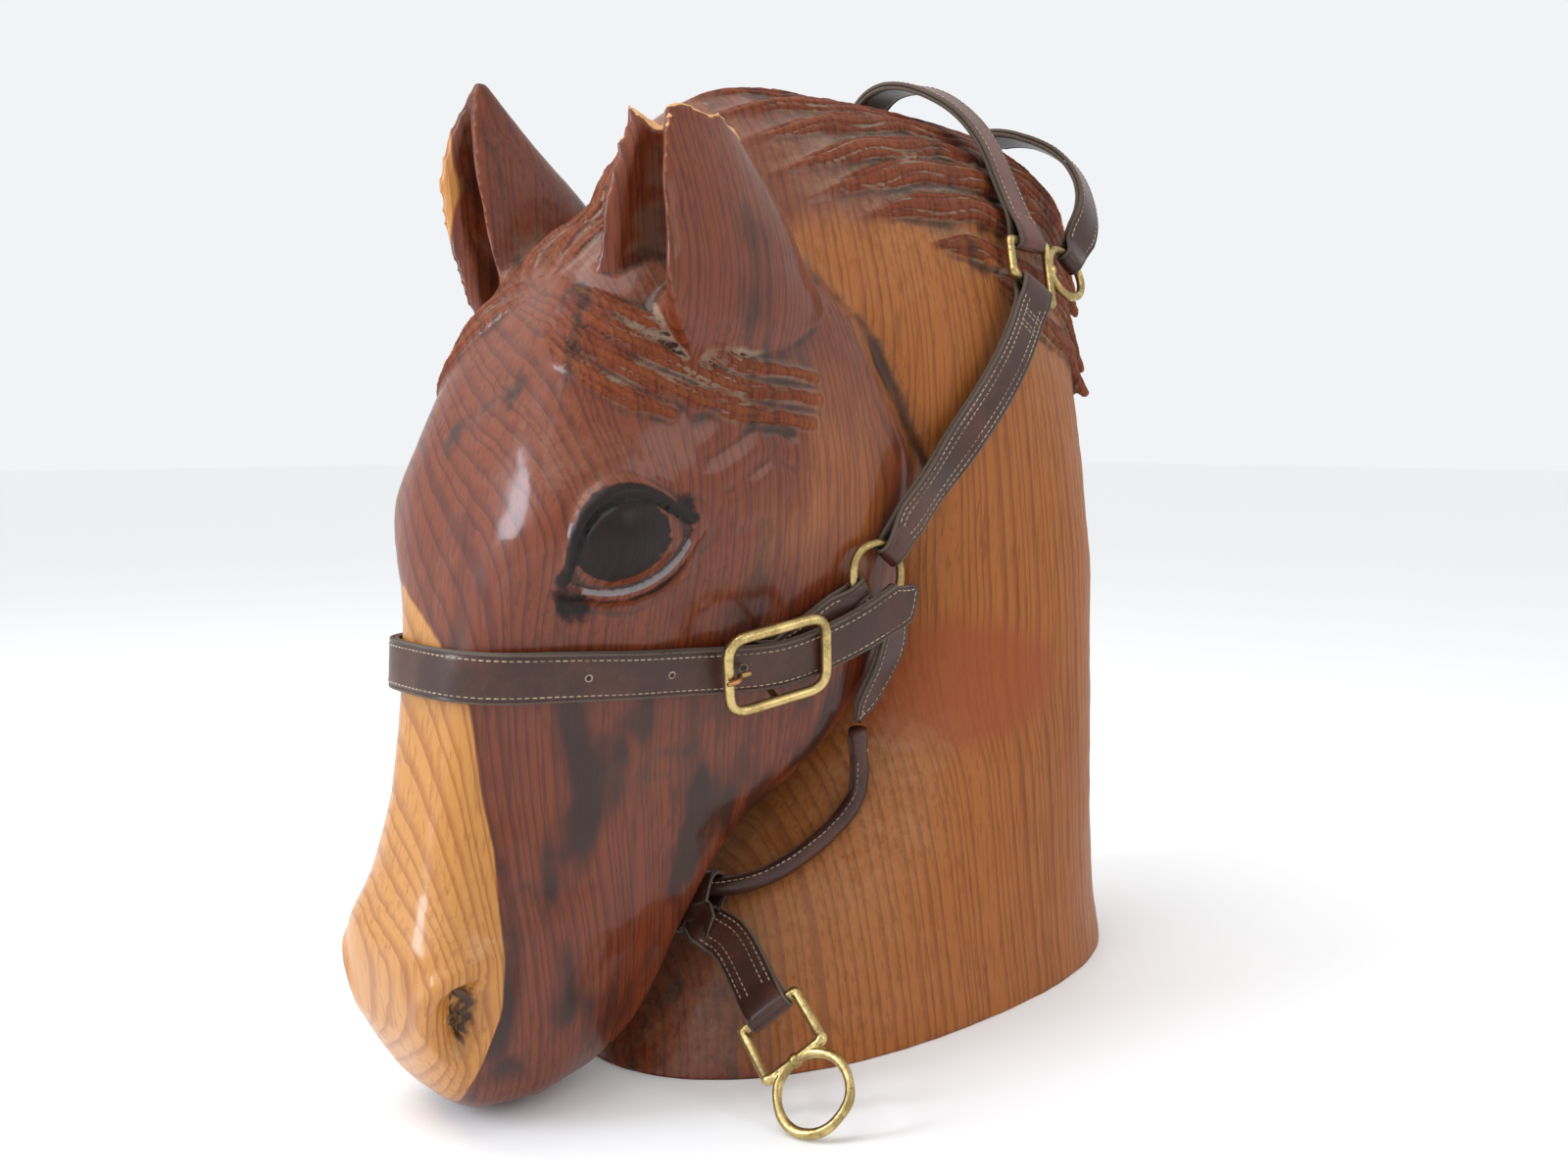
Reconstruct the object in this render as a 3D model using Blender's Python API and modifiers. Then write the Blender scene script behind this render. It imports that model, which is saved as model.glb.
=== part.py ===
"""A horse head carved from one block of wood, wearing a leather halter with brass fittings.

Metres, +Z up. The face looks along -Y and the horse's left side is +X. The origin is the centre of
the flat underside of the neck, on the surface that the carving stands on.
"""

import math

import bmesh
import bpy
import numpy as np
from mathutils import Matrix, Vector
from mathutils.bvhtree import BVHTree

# Driving sizes of the carving
CARVING_HEIGHT = 0.556      # underside of the neck to the top of the mane
HEIGHT_IN_PARTS = 556       # the carving's tables divide that height into this many parts
VOXEL = 0.0034              # grain of the blocked-out form, before it is thinned
CARVING_TRIANGLES = 4300

PART = CARVING_HEIGHT / HEIGHT_IN_PARTS

# The head, level by level, in parts: level, front, back, half width of the flat front, half width
# at the middle, half width towards the back
HEAD_LEVELS = [
    (4, -298, -240, 16, 22, 18),
    (12, -312, -224, 30, 38, 28),
    (34, -328, -200, 42, 48, 38),
    (62, -340, -184, 50, 54, 44),
    (92, -343, -164, 51, 55, 46),
    (125, -332, -138, 43, 52, 48),
    (165, -322, -88, 39, 55, 64),
    (205, -315, -54, 43, 64, 78),
    (250, -308, -37, 53, 77, 88),
    (290, -302, -30, 66, 90, 92),
    (330, -294, -30, 70, 95, 93),
    (370, -277, -46, 68, 94, 90),
    (410, -256, -66, 60, 86, 84),
    (440, -233, -88, 50, 72, 70),
    (462, -208, -110, 36, 54, 50),
]

# The neck, level by level: level, front, back, half width, squareness of the oval
NECK_LEVELS = [
    (-16, -214, 208, 117, 2.3),
    (0, -209, 207, 117, 2.3),
    (30, -186, 199, 114, 2.3),
    (80, -146, 192, 110, 2.3),
    (140, -90, 184, 107, 2.3),
    (200, -56, 178, 105, 2.3),
    (260, -44, 174, 104, 2.3),
    (320, -80, 172, 102, 2.3),
    (380, -130, 173, 97, 2.2),
    (430, -186, 178, 88, 2.1),
    (470, -196, 182, 76, 2.0),
    (503, -182, 180, 62, 2.0),
    (526, -158, 156, 44, 2.0),
    (540, -134, 116, 27, 2.0),
    (547, -100, 60, 9, 2.0),
]

# The ears, level by level: level, inner side, outer side, front, back, share of the depth hollowed
LEFT_EAR_LEVELS = [
    (372, 34, 84, -196, -110, 0.0),
    (410, 37, 100, -226, -102, 0.05),
    (437, 45, 104, -236, -120, 0.34),
    (465, 50, 101, -236, -138, 0.46),
    (490, 54, 95, -230, -158, 0.48),
    (510, 57, 89, -222, -173, 0.46),
    (530, 62, 82, -216, -190, 0.40),
]
RIGHT_EAR_LEVELS = [
    (372, 34, 78, -196, -110, 0.0),
    (410, 35, 82, -224, -102, 0.05),
    (437, 43, 86, -237, -118, 0.34),
    (465, 51, 96, -240, -136, 0.48),
    (490, 58, 101, -240, -158, 0.50),
    (515, 65, 97, -237, -186, 0.46),
    (535, 69, 84, -233, -210, 0.34),
    (546, 71, 76, -230, -222, 0.12),
]
BROKEN_EAR_LEVEL = 505      # the left ear ends here, in a jagged break
BREAK_ROUGHNESS = 4
EAR_RIM = 9

# The mane: guides from the parting line over the neck to the lowest and the highest lock
MANE_STARTS = [(82, 30, 446), (74, -62, 470), (58, -117, 486), (34, -142, 512), (6, -158, 532)]
MANE_MIDDLES = [(84, 84, 420), (74, 36, 480), (55, 19, 518), (28, 20, 543), (0, 10, 556)]
MANE_TIPS = [(66, 166, 372), (58, 184, 420), (44, 194, 462), (24, 200, 492), (2, 200, 516)]
MANE_LOCKS = 7              # on each side of the top lock
LOCK_RADIUS = 11.5
LOCK_PROUD = 5.5            # how far a lock stands out of the neck
TIP_FLICK = 9               # how far the end of a lock stands off the back of the neck

# The forelock: each strand from the parting on the forehead to its end, and its radius
FORELOCK_STRANDS = [
    ([(14, -240, 432), (50, -244, 419), (76, -228, 408), (98, -196, 392), (97, -126, 381)], 7),
    ([(18, -246, 426), (54, -248, 409), (80, -230, 394), (95, -186, 376), (95, -124, 369)], 8),
    ([(22, -250, 419), (56, -254, 398), (78, -236, 381), (93, -188, 364), (95, -130, 356)], 8),
    ([(24, -254, 412), (54, -260, 388), (74, -247, 372), (86, -218, 360)], 7),
    ([(6, -243, 431), (-24, -248, 421), (-56, -256, 402), (-82, -250, 380), (-96, -236, 368)], 7),
    ([(4, -248, 424), (-22, -256, 410), (-50, -268, 390), (-78, -262, 366)], 7),
    ([(14, -238, 432), (4, -226, 446), (-4, -206, 470), (-2, -176, 506)], 8),
    ([(20, -240, 430), (20, -228, 444), (18, -206, 470), (14, -176, 506)], 7),
    ([(0, -242, 428), (-18, -230, 440), (-24, -206, 468), (-18, -178, 500)], 7),
]
STRAND_PROUD = 3.5

# The eyes and nostrils, given for the left side
EYE_CENTRE = (81, -241, 297)
EYE_OUTWARD = (0.86, -0.50, 0.06)
EYE_SLIT = (0.28, 0.88, 0.37)
EYE_LENGTH = 74
EYE_HEIGHT = 46
SOCKET_CENTRE = (82, -258, 304)
SOCKET_SWELLING = 16
NOSTRIL_CENTRE = (47, -323, 66)
NOSTRIL_OUTWARD = (0.76, -0.64, 0.05)
NOSTRIL_LENGTH = 46
NOSTRIL_WIDTH = 28
NOSTRIL_DEPTH = 13

# The fold between the cheek and the neck
JAW_FOLD = [(82, -84, 420), (90, -48, 362), (92, -26, 312), (90, -20, 268)]

# Driving sizes of the halter
STRAP_WIDTH = 0.0254
STRAIGHT_LEAD = 0.014       # a strap runs straight for this far before a fold
TURN_START = 0.004          # past this length a strap turns from its fitting's face to the carving's
TURN_END = 0.024
NARROW_START = 0.004        # past this length a strap widens from a ring to its full width
NARROW_END = 0.022
NARROW_SHARE = 0.58         # a strap narrows to this share of its width where it meets a ring
PLY = 0.0023                # one thickness of leather; the straps are two plies stitched together
SEAM = 0.0003               # between the two plies of a strap
CLEARANCE = 0.0003          # between pieces that touch
RING_RADIUS = 0.0175        # cheek rings, to the middle of the wire
RING_WIRE = 0.0025
FITTING_WIRE = 0.0026
LOOP_HALF = 0.0165          # a fitting's loop, from its centre to the middle of its bars
LOOP_WIDE = 0.0180          # and to the middle of its sides
LOOP_CORNER = 0.0030
UPPER_SPLAY = math.radians(15)  # the upper fitting's bars turn this far towards their straps
UPPER_RING_RADIUS = 0.0160
LOWER_RING_RADIUS = 0.0205
ROLL_RADIUS = 0.0055        # rolled throat strap
ROLL_BEND = 0.0016          # how far it bends away within the width of the strap that hangs from it
TAB_WIDTH = 0.0190          # the folded tab that holds the buckle
TAB_LEAF = 0.0240           # the leaf-shaped throat tabs, at their widest
BUCKLE_LENGTH = 0.060       # along the strap, between the middles of the wire
BUCKLE_WIDTH = 0.042
BUCKLE_CORNER = 0.0115
BUCKLE_WIRE = 0.0030
BUCKLE_BAR = 0.0018         # radius of the hidden middle bar
BAR_ROOM = 0.0035           # between the strap's edge and the bend of the bar, to its middle
TONGUE = 0.0016
TONGUE_REACH = 0.0035       # how far the tongue's tip stands past the frame's end bar
TONGUE_LENGTH = 0.013       # the part of it that shows inside the frame
BILLET_ROUND = 0.014        # length over which the loose end of the noseband rounds off
BILLET_TIP = 0.03           # share of that length that is left off the point
RING_STEPS = 20
WIRE_SIDES = 6

# Where the halter lies on the carving: y and level, or whole places, in parts, and directions
CHEEK_RING_PLACE = (-86, 273)
CHEEK_RING_OUTWARD = (1, -0.1, 0.05)
UPPER_FITTING_PLACE = (56, 450)
UPPER_FITTING_OUTWARD = (0.93, 0.05, 0.36)
UPPER_FITTING_WAY = (-0.36, 0.28, 0.89)
UPPER_RING_WAY = (-0.03, 0.99, -0.06)
THROAT_TAB_END = (76, -76, 187)
THROAT_TAB_WAY = (0, 0.5, -0.86)
THROAT_TAB_FACE = (0.95, -0.2, -0.2)
BUCKLE_PLACE = (-154, 235)
BUCKLE_WAY = (0, -0.97, -0.22)
NOSEBAND_GUIDES = [
    (96, -68, 264), (94, -96, 248), (86, -122, 236), (80, -150, 229), (74, -190, 228), (70, -218, 230),
    (64, -256, 232), (50, -292, 233), (16, -312, 233),
]
NOSEBAND_FAR_END = (-92, -118, 252)
CROWN_GUIDES = [(70, 62, 500), (54, 52, 540), (30, 40, 563), (0, 32, 571)]
REAR_GUIDES = [(84, 116, 472), (74, 138, 506), (46, 146, 538), (0, 134, 554)]
THROAT_GUIDES = [(71, -74, 138), (64, -102, 114), (50, -132, 98), (24, -148, 91), (0, -152, 89)]
HANGING_STRAP_X = 26
HANGING_GUIDES = [(57, -158, 70)]
LOWER_RING_PLACE = (145, -179)
LOWER_FITTING_OUTWARD = (0.17, -0.765, 0.62)
LOWER_FITTING_WAY = (-0.80, 0.10, 0.55)


def smooth_through(levels, where):
    """Rows at the levels asked for, on a monotone cubic through each column of the table."""
    table = np.array(levels, float)
    at, values = table[:, 0], table[:, 1:]
    slope = np.diff(values, axis=0) / np.diff(at)[:, None]
    tangent = np.zeros_like(values)
    tangent[0], tangent[-1] = slope[0], slope[-1]
    same_way = slope[:-1] * slope[1:] > 0
    mean = 2 * slope[:-1] * slope[1:] / np.where(same_way, slope[:-1] + slope[1:], 1)
    tangent[1:-1] = np.where(same_way, mean, 0)
    k = np.clip(np.searchsorted(at, where, side="right") - 1, 0, len(at) - 2)
    gap = (at[k + 1] - at[k])[:, None]
    t = (where - at[k])[:, None] / gap
    rows = (
        values[k] * (1 + 2 * t) * (1 - t) ** 2
        + tangent[k] * gap * t * (1 - t) ** 2
        + values[k + 1] * t * t * (3 - 2 * t)
        + tangent[k + 1] * gap * t * t * (t - 1)
    )
    return np.column_stack([where, rows])


def outline_through(corners, steps):
    """A smooth closed outline through evenly spaced corners."""
    corners = np.array(corners, float)
    t = np.linspace(0, 1, steps, endpoint=False)[:, None]
    spans = []
    for a, b, c, d in zip(*(np.roll(corners, shift, axis=0) for shift in (1, 0, -1, -2))):
        cubic = 2 * b + (c - a) * t + (2 * a - 5 * b + 4 * c - d) * t**2 + (3 * b - a - 3 * c + d) * t**3
        spans.append(cubic / 2)
    return np.concatenate(spans)


def curve_through(corners, steps):
    """A smooth open curve through corners at any spacing."""
    corners = np.array(corners, float)
    gaps = np.linalg.norm(np.diff(corners, axis=0), axis=1)[:, None]
    slopes = np.diff(corners, axis=0) / gaps
    inner = (gaps[1:] * slopes[:-1] + gaps[:-1] * slopes[1:]) / (gaps[1:] + gaps[:-1])
    tangents = np.concatenate([slopes[:1], inner, slopes[-1:]])
    t = np.linspace(0, 1, steps, endpoint=False)[:, None]
    spans = []
    for i, gap in enumerate(gaps):
        ends = corners[i] * (1 + 2 * t) * (1 - t) ** 2 + corners[i + 1] * t * t * (3 - 2 * t)
        spans.append(ends + gap * (tangents[i] * t * (1 - t) ** 2 + tangents[i + 1] * t * t * (t - 1)))
    return np.concatenate([*spans, corners[-1:]])


def head_section(front, back, flat, middle, rear):
    """One level of the head, seen from above: a flat face, full cheeks and a narrower jaw."""
    depth = back - front
    side = [
        (0.62 * flat, front + 0.012 * depth),
        (flat, front + 0.085 * depth),
        (0.93 * middle, front + 0.28 * depth),
        (middle, front + 0.5 * depth),
        (rear, front + 0.82 * depth),
        (0.84 * rear, front + 0.97 * depth),
    ]
    mirrored = [(-x, y) for x, y in reversed(side)]
    return outline_through([(0, front), *side, (0, back), *mirrored], 5)


def neck_section(front, back, half_width, squareness):
    """One level of the neck, seen from above: an oval that is a little squared."""
    turn = np.linspace(0, 2 * math.pi, 72, endpoint=False)
    c, s = np.cos(turn), np.sin(turn)
    power = 2 / squareness
    x = half_width * np.sign(s) * np.abs(s) ** power
    y = (front + back) / 2 - (back - front) / 2 * np.sign(c) * np.abs(c) ** power
    return np.column_stack([x, y])


def ear_section(inner, outer, front, back, hollow):
    """One level of the left ear, seen from above: a cup that opens to the front."""
    middle, half, depth = (inner + outer) / 2, (outer - inner) / 2, back - front
    turn = np.linspace(0, math.pi, 15)
    cup = np.column_stack([middle + half * np.cos(turn), front + depth * np.sin(turn) ** 0.8])
    turn = turn[1:-1]
    room = max(half - EAR_RIM, 0.2 * half)
    inside = np.column_stack([middle - room * np.cos(turn), front + hollow * depth * np.sin(turn) ** 0.8 - 3])
    return np.concatenate([cup, inside])


def loft(name, rings):
    """A closed surface through rings of equally many points, lowest ring first."""
    around = len(rings[0])
    faces = [tuple(reversed(range(around)))]
    for i in range(len(rings) - 1):
        for j in range(around):
            k = (j + 1) % around
            faces.append((i * around + j, i * around + k, (i + 1) * around + k, (i + 1) * around + j))
    faces.append(tuple((len(rings) - 1) * around + j for j in range(around)))
    mesh = bpy.data.meshes.new(name)
    mesh.from_pydata([tuple(p) for p in np.concatenate(rings)], [], faces)
    obj = bpy.data.objects.new(name, mesh)
    bpy.context.scene.collection.objects.link(obj)
    edit = bmesh.new()
    edit.from_mesh(mesh)
    bmesh.ops.recalc_face_normals(edit, faces=edit.faces)
    edit.to_mesh(mesh)
    edit.free()
    return obj


def level_rings(levels, where, section):
    """The rings of a form that is described level by level, in metres."""
    rings = []
    for level, *values in smooth_through(levels, where):
        outline = section(*values)
        rings.append(np.column_stack([outline, np.full(len(outline), level)]) * PART)
    return rings


def ear(name, side, table, top):
    """An ear up to the level of its tip, or of its break."""
    levels = np.append(np.arange(table[0][0], top, 6.0), top)
    rings = level_rings(table, levels, ear_section)
    if top < table[-1][0]:
        around = np.arange(len(rings[-1]))
        teeth = np.sin(around * 0.9) + 0.8 * np.sin(around * 1.9 + 1)
        rings[-1][:, 2] += BREAK_ROUGHNESS * PART * teeth
    for ring in rings:
        ring[:, 0] *= side
    return loft(name, rings)


def join_masses(name, masses, voxel, smoothing):
    """One closed skin of even grain around all the masses, a little softened."""
    edit = bmesh.new()
    for mass in masses:
        edit.from_mesh(mass.data)
        bpy.data.objects.remove(mass)
    mesh = bpy.data.meshes.new(name)
    edit.to_mesh(mesh)
    edit.free()
    obj = bpy.data.objects.new(name, mesh)
    bpy.context.scene.collection.objects.link(obj)
    remesh = obj.modifiers.new("Remesh", "REMESH")
    remesh.mode = "VOXEL"
    remesh.voxel_size = voxel
    soften = obj.modifiers.new("Smooth", "SMOOTH")
    soften.factor = 0.5
    soften.iterations = smoothing
    bake(obj)
    return obj


def bake(obj):
    """Makes the object's modifiers part of its mesh."""
    graph = bpy.context.evaluated_depsgraph_get()
    mesh = bpy.data.meshes.new_from_object(obj.evaluated_get(graph))
    obj.modifiers.clear()
    obj.data = mesh


def skin_of(obj):
    return BVHTree.FromPolygons(
        [v.co for v in obj.data.vertices], [tuple(p.vertices) for p in obj.data.polygons]
    )


def rod(name, points, radii, closed=False, resolution=1):
    """A round rod through the points, as a closed mesh; its radius is one number, or one for each point."""
    curve = bpy.data.curves.new(name, "CURVE")
    curve.dimensions = "3D"
    curve.bevel_depth = 1
    curve.bevel_resolution = resolution
    curve.use_fill_caps = True
    spline = curve.splines.new("POLY")
    spline.points.add(len(points) - 1)
    for point, place, radius in zip(spline.points, points, np.broadcast_to(radii, len(points))):
        point.co = (*place, 1)
        point.radius = radius
    spline.use_cyclic_u = closed
    guide = bpy.data.objects.new(name, curve)
    bpy.context.scene.collection.objects.link(guide)
    graph = bpy.context.evaluated_depsgraph_get()
    mesh = bpy.data.meshes.new_from_object(guide.evaluated_get(graph))
    bpy.data.objects.remove(guide)
    edit = bmesh.new()
    edit.from_mesh(mesh)
    bmesh.ops.remove_doubles(edit, verts=edit.verts, dist=1e-6)
    edit.to_mesh(mesh)
    edit.free()
    mesh.shade_smooth()
    return mesh


def strand(name, corners, radius, proud, skin, flick=0.0):
    """A strand of hair lying on the skin, thin at its ends; corners and sizes are in parts."""
    path = curve_through(corners, 5)
    points, radii = [], []
    for i, place in enumerate(path):
        s = i / (len(path) - 1)
        width = radius * (0.25 + 0.75 * min(1, 4 * s)) * min(1, 0.28 + 2.4 * (1 - s))
        spot, normal, _, _ = skin.find_nearest(Vector(place * PART))
        lift = proud * min(1, 0.2 + 3 * s) - width + flick * max(0, (s - 0.82) / 0.18) ** 2
        points.append(spot + normal * lift * PART)
        radii.append(width * PART)
    obj = bpy.data.objects.new(name, rod(name, points, radii, resolution=2))
    bpy.context.scene.collection.objects.link(obj)
    return obj


def mane(skin):
    """Locks that run back from the parting along both sides of the crest, ending in loose tips."""
    locks = []
    share = np.linspace(0, 1, MANE_LOCKS + 1)
    guides = [curve_through(row, 12) for row in (MANE_STARTS, MANE_MIDDLES, MANE_TIPS)]
    for side in (1, -1):
        for k, a in enumerate(share):
            if side < 0 and k == MANE_LOCKS:
                continue
            a = min(1, a + (0.5 / MANE_LOCKS if side < 0 else 0))
            start, middle, tip = (guide[round(a * (len(guide) - 1))] for guide in guides)
            bow = 0.5 * (start + middle) + np.array([2, 0, 5])
            fall = 0.5 * (middle + tip) + np.array([5, 10, 12])
            corners = np.array([start, bow, middle, fall, tip]) * (side, 1, 1)
            corners[-1] += (0, 0, 6 * (-1) ** k)
            locks.append(strand(f"lock {side} {k}", corners, LOCK_RADIUS, LOCK_PROUD, skin, TIP_FLICK))
    return locks


def distance_to(points, path):
    """How far each point is from the path, and how far along the path it lies, from 0 to 1."""
    path = np.asarray(path, float)
    nearest, along = np.full(len(points), np.inf), np.zeros(len(points))
    for i, (a, b) in enumerate(zip(path, path[1:])):
        step = b - a
        t = np.clip((points - a) @ step / (step @ step), 0, 1)
        gap = np.linalg.norm(points - a - t[:, None] * step, axis=1)
        closer = gap < nearest
        nearest[closer] = gap[closer]
        along[closer] = ((i + t) / (len(path) - 1))[closer]
    return nearest, along


def smooth_step(start, end, value):
    t = np.clip((value - start) / (end - start), 0, 1)
    return t * t * (3 - 2 * t)


def local_frame(outward, along):
    """Three unit directions: along the feature, across it and outward."""
    outward = np.array(outward) / np.linalg.norm(outward)
    along = np.array(along) - np.dot(along, outward) * outward
    along /= np.linalg.norm(along)
    return along, np.cross(outward, along), outward


def eye_relief(points):
    """The brow's swelling, the lids and the eyeball, as heights in parts."""
    along, across, outward = local_frame(EYE_OUTWARD, EYE_SLIT)
    offset = points - np.array(EYE_CENTRE)
    u, v, w = offset @ along + 2, offset @ across, offset @ outward
    here = w > -40
    arch = np.clip(1 - np.abs(2 * u / EYE_LENGTH) ** 2.2, 0, 1)
    inside = np.minimum(-5 + 0.67 * EYE_HEIGHT * arch - v, v + 5 + 0.33 * EYE_HEIGHT * arch)
    inside = np.where(np.abs(u) > EYE_LENGTH / 2, -np.hypot(np.abs(u) - EYE_LENGTH / 2, v + 5), inside)
    from_socket = points - np.array(SOCKET_CENTRE)
    spread = np.hypot(from_socket @ along / 40, from_socket @ across / 34)
    swelling = SOCKET_SWELLING * np.exp(-(spread**2.4))
    ball = smooth_step(0, 4, inside) * (9 * (1 - (u**2 + (v - 2) ** 2) / 34**2) - 4)
    lid = 3.0 * np.exp(-(((inside + 4) / 4) ** 2)) - 2.0 * np.exp(-(((inside + 12) / 4) ** 2))
    return (here * (swelling + ball + lid * (inside < 0)))[:, None] * outward


def nostril_relief(points):
    """The nostril's cavity and the flare around it, as heights in parts."""
    along, across, outward = local_frame(NOSTRIL_OUTWARD, (0, 0.25, 1))
    offset = points - np.array(NOSTRIL_CENTRE)
    u, v, w = offset @ along, offset @ across, offset @ outward
    bend = v + 0.008 * u**2
    ring = np.hypot(2 * u / NOSTRIL_LENGTH, 2 * bend / NOSTRIL_WIDTH)
    cavity = -NOSTRIL_DEPTH * smooth_step(1.05, 0.6, ring)
    flare = 3.0 * np.exp(-(((ring - 1.35) / 0.35) ** 2)) * smooth_step(-30, 20, u)
    return (w > -25) * (cavity + flare)


def carve(obj):
    """Raises and lowers the skin along its normals for the eyes, nostrils and folds."""
    count = len(obj.data.vertices)
    points, normals = np.empty(count * 3), np.empty(count * 3)
    obj.data.vertices.foreach_get("co", points)
    obj.data.vertex_normals.foreach_get("vector", normals)
    points, normals = points.reshape(-1, 3), normals.reshape(-1, 3)
    side = np.where(points[:, :1] < 0, [-1, 1, 1], [1, 1, 1])
    either_side = points / PART * side
    away, along = distance_to(either_side, curve_through(JAW_FOLD, 6))
    fold = -6 * np.sin(math.pi * along) ** 0.6 * np.exp(-((away / 7) ** 2))
    height = nostril_relief(either_side) + fold
    points += (normals * height[:, None] + eye_relief(either_side) * side) * PART
    obj.data.vertices.foreach_set("co", points.ravel())
    obj.data.update()


def cut_underside(obj):
    """Cuts the neck off flat at the floor."""
    edit = bmesh.new()
    edit.from_mesh(obj.data)
    everything = [*edit.verts, *edit.edges, *edit.faces]
    floor = {"plane_co": (0, 0, 0), "plane_no": (0, 0, -1)}
    cut = bmesh.ops.bisect_plane(edit, geom=everything, clear_outer=True, **floor)
    rim = [e for e in cut["geom_cut"] if isinstance(e, bmesh.types.BMEdge)]
    cap = bmesh.ops.edgeloop_fill(edit, edges=rim)["faces"]
    bmesh.ops.triangulate(edit, faces=cap)
    bmesh.ops.recalc_face_normals(edit, faces=edit.faces)
    edit.to_mesh(obj.data)
    edit.free()


def make_carving():
    """The whole horse head, as one piece of wood."""
    spread = np.linspace(0, 1, 64)
    base = join_masses(
        "base",
        [
            loft("head", level_rings(HEAD_LEVELS, 4 + spread * (HEAD_LEVELS[-1][0] - 4), head_section)),
            loft("neck", level_rings(NECK_LEVELS, -16 + spread * (NECK_LEVELS[-1][0] + 16), neck_section)),
        ],
        VOXEL,
        12,
    )
    skin = skin_of(base)
    hair = mane(skin)
    for i, (corners, radius) in enumerate(FORELOCK_STRANDS):
        hair.append(strand(f"forelock {i}", corners, radius, STRAND_PROUD, skin))
    ears = [
        ear("left ear", 1, LEFT_EAR_LEVELS, BROKEN_EAR_LEVEL),
        ear("right ear", -1, RIGHT_EAR_LEVELS, RIGHT_EAR_LEVELS[-1][0]),
    ]
    head = join_masses("horse_head", [base, *ears, *hair], VOXEL, 2)
    carve(head)
    thin = head.modifiers.new("Decimate", "DECIMATE")
    thin.ratio = CARVING_TRIANGLES / (2 * len(head.data.polygons))
    bake(head)
    cut_underside(head)
    return head


def nearest(skin, point):
    """The nearest point of the skin, the skin's normal there, and how far outside it the point is."""
    spot, normal, _, _ = skin.find_nearest(Vector(point))
    spot, normal = np.array(spot), np.array(normal)
    return spot, normal, float((np.asarray(point) - spot) @ normal)


def unit(v):
    v = np.array(v, float)
    return v / np.linalg.norm(v)


def spaced(points, count):
    """The path again, with its points at equal steps."""
    steps = lengths_along(points)
    where = np.linspace(0, steps[-1], count)
    return np.column_stack([np.interp(where, steps, points[:, i]) for i in range(3)])


def lengths_along(path):
    return np.append(0, np.cumsum(np.linalg.norm(np.diff(path, axis=0), axis=1)))


def height_over(layers, point, outward, reach=0.02):
    """How high the point is over everything that lies under it."""
    height = reach
    for layer in layers:
        spot, _, _, depth = layer.ray_cast(Vector(point + outward * reach), Vector(-outward), 2 * reach)
        if spot:
            height = min(height, depth - reach)
    return height


def fold_gap(run, ends):
    """How far each ply's middle lies from the strap's, opening at the ends round a wire.

    Each end is (radius, slack): the radius of the wire, or 0 for a plain edge, and the length over
    which the fold stays fully open, because the wire is curved.
    """
    flat = (PLY + SEAM) / 2
    gap = np.full(len(run), flat)
    for (radius, slack), along in zip(ends, (run, run[-1] - run)):
        if radius:
            full = radius + 1.7 * CLEARANCE + PLY / 2
            gap = np.maximum(gap, flat + (full - flat) * (1 - smooth_step(slack, slack + 5 * full, along)))
    return gap


def lay_route(guides, layers, width, ends, faces, count, rounds=10):
    """A strap's path over the layers, from the first guide to the last, and the outward direction along it.

    The faces are the outward directions at the two ends, or None to follow the carving.
    """
    path = spaced(curve_through(guides, 12), count)
    run = lengths_along(path)
    standoff = fold_gap(run, ends) + PLY / 2 + 2.5 * CLEARANCE
    outward = np.array([nearest(layers[0], p)[1] for p in path])
    for face, away in zip(faces, (run, run[-1] - run)):
        if face is not None:
            share = (1 - smooth_step(TURN_START, TURN_END, away))[:, None]
            outward = (1 - share) * outward + share * np.array(face)
    for _ in range(3):
        outward[1:-1] = (outward[:-2] + 2 * outward[1:-1] + outward[2:]) / 4
    outward = np.array([unit(n) for n in outward])
    for _ in range(rounds):
        path[2:-2] += 0.25 * (path[1:-3] - 2 * path[2:-2] + path[3:-1])
        lack = np.zeros(count)
        for i in range(2 * count - 1):
            low, high = i // 2, (i + 1) // 2
            point, face = (path[low] + path[high]) / 2, unit(outward[low] + outward[high])
            across = unit(np.cross(face, path[min(low + 1, count - 1)] - path[max(low - 1, 0)]))
            for share in np.linspace(-0.5, 0.5, 9):
                gap = height_over(layers, point + across * share * width, face)
                need = standoff[low] - gap
                lack[low], lack[high] = max(lack[low], need), max(lack[high], need)
        beside = np.pad(lack, 1)
        path += outward * np.maximum(lack, 0.5 * np.maximum(beside[:-2], beside[2:]))[:, None]
        for i, (radius, _) in zip((0, -1), ends):
            if radius:
                path[i] = guides[i]
    along = np.gradient(path, axis=0)
    outward = np.array([unit(n - (n @ unit(t)) * unit(t)) for n, t in zip(outward, along)])
    return path, outward


def strip(name, centres, outward, widths, thickness, material):
    """Leather that runs round a closed path: a band through its middle, made solid by its thickness."""
    centres, outward = np.asarray(centres), np.asarray(outward)
    along = np.roll(centres, -1, axis=0) - np.roll(centres, 1, axis=0)
    across = np.array([unit(np.cross(n, t)) for n, t in zip(outward, along)])
    half = np.broadcast_to(widths, len(centres))[:, None] / 2
    edges = np.stack([centres - across * half, centres + across * half], axis=1)
    rows = len(centres)
    faces = []
    for i in range(rows):
        k = (i + 1) % rows
        faces.append((2 * i, 2 * i + 1, 2 * k + 1, 2 * k))
    mesh = bpy.data.meshes.new(name)
    mesh.from_pydata([tuple(p) for p in edges.reshape(-1, 3)], [], faces)
    obj = add_part(name, mesh, material)
    solid = obj.modifiers.new("Solidify", "SOLIDIFY")
    solid.thickness = thickness
    solid.offset = 0
    solid.use_even_offset = True
    bake(obj)
    return obj


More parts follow.
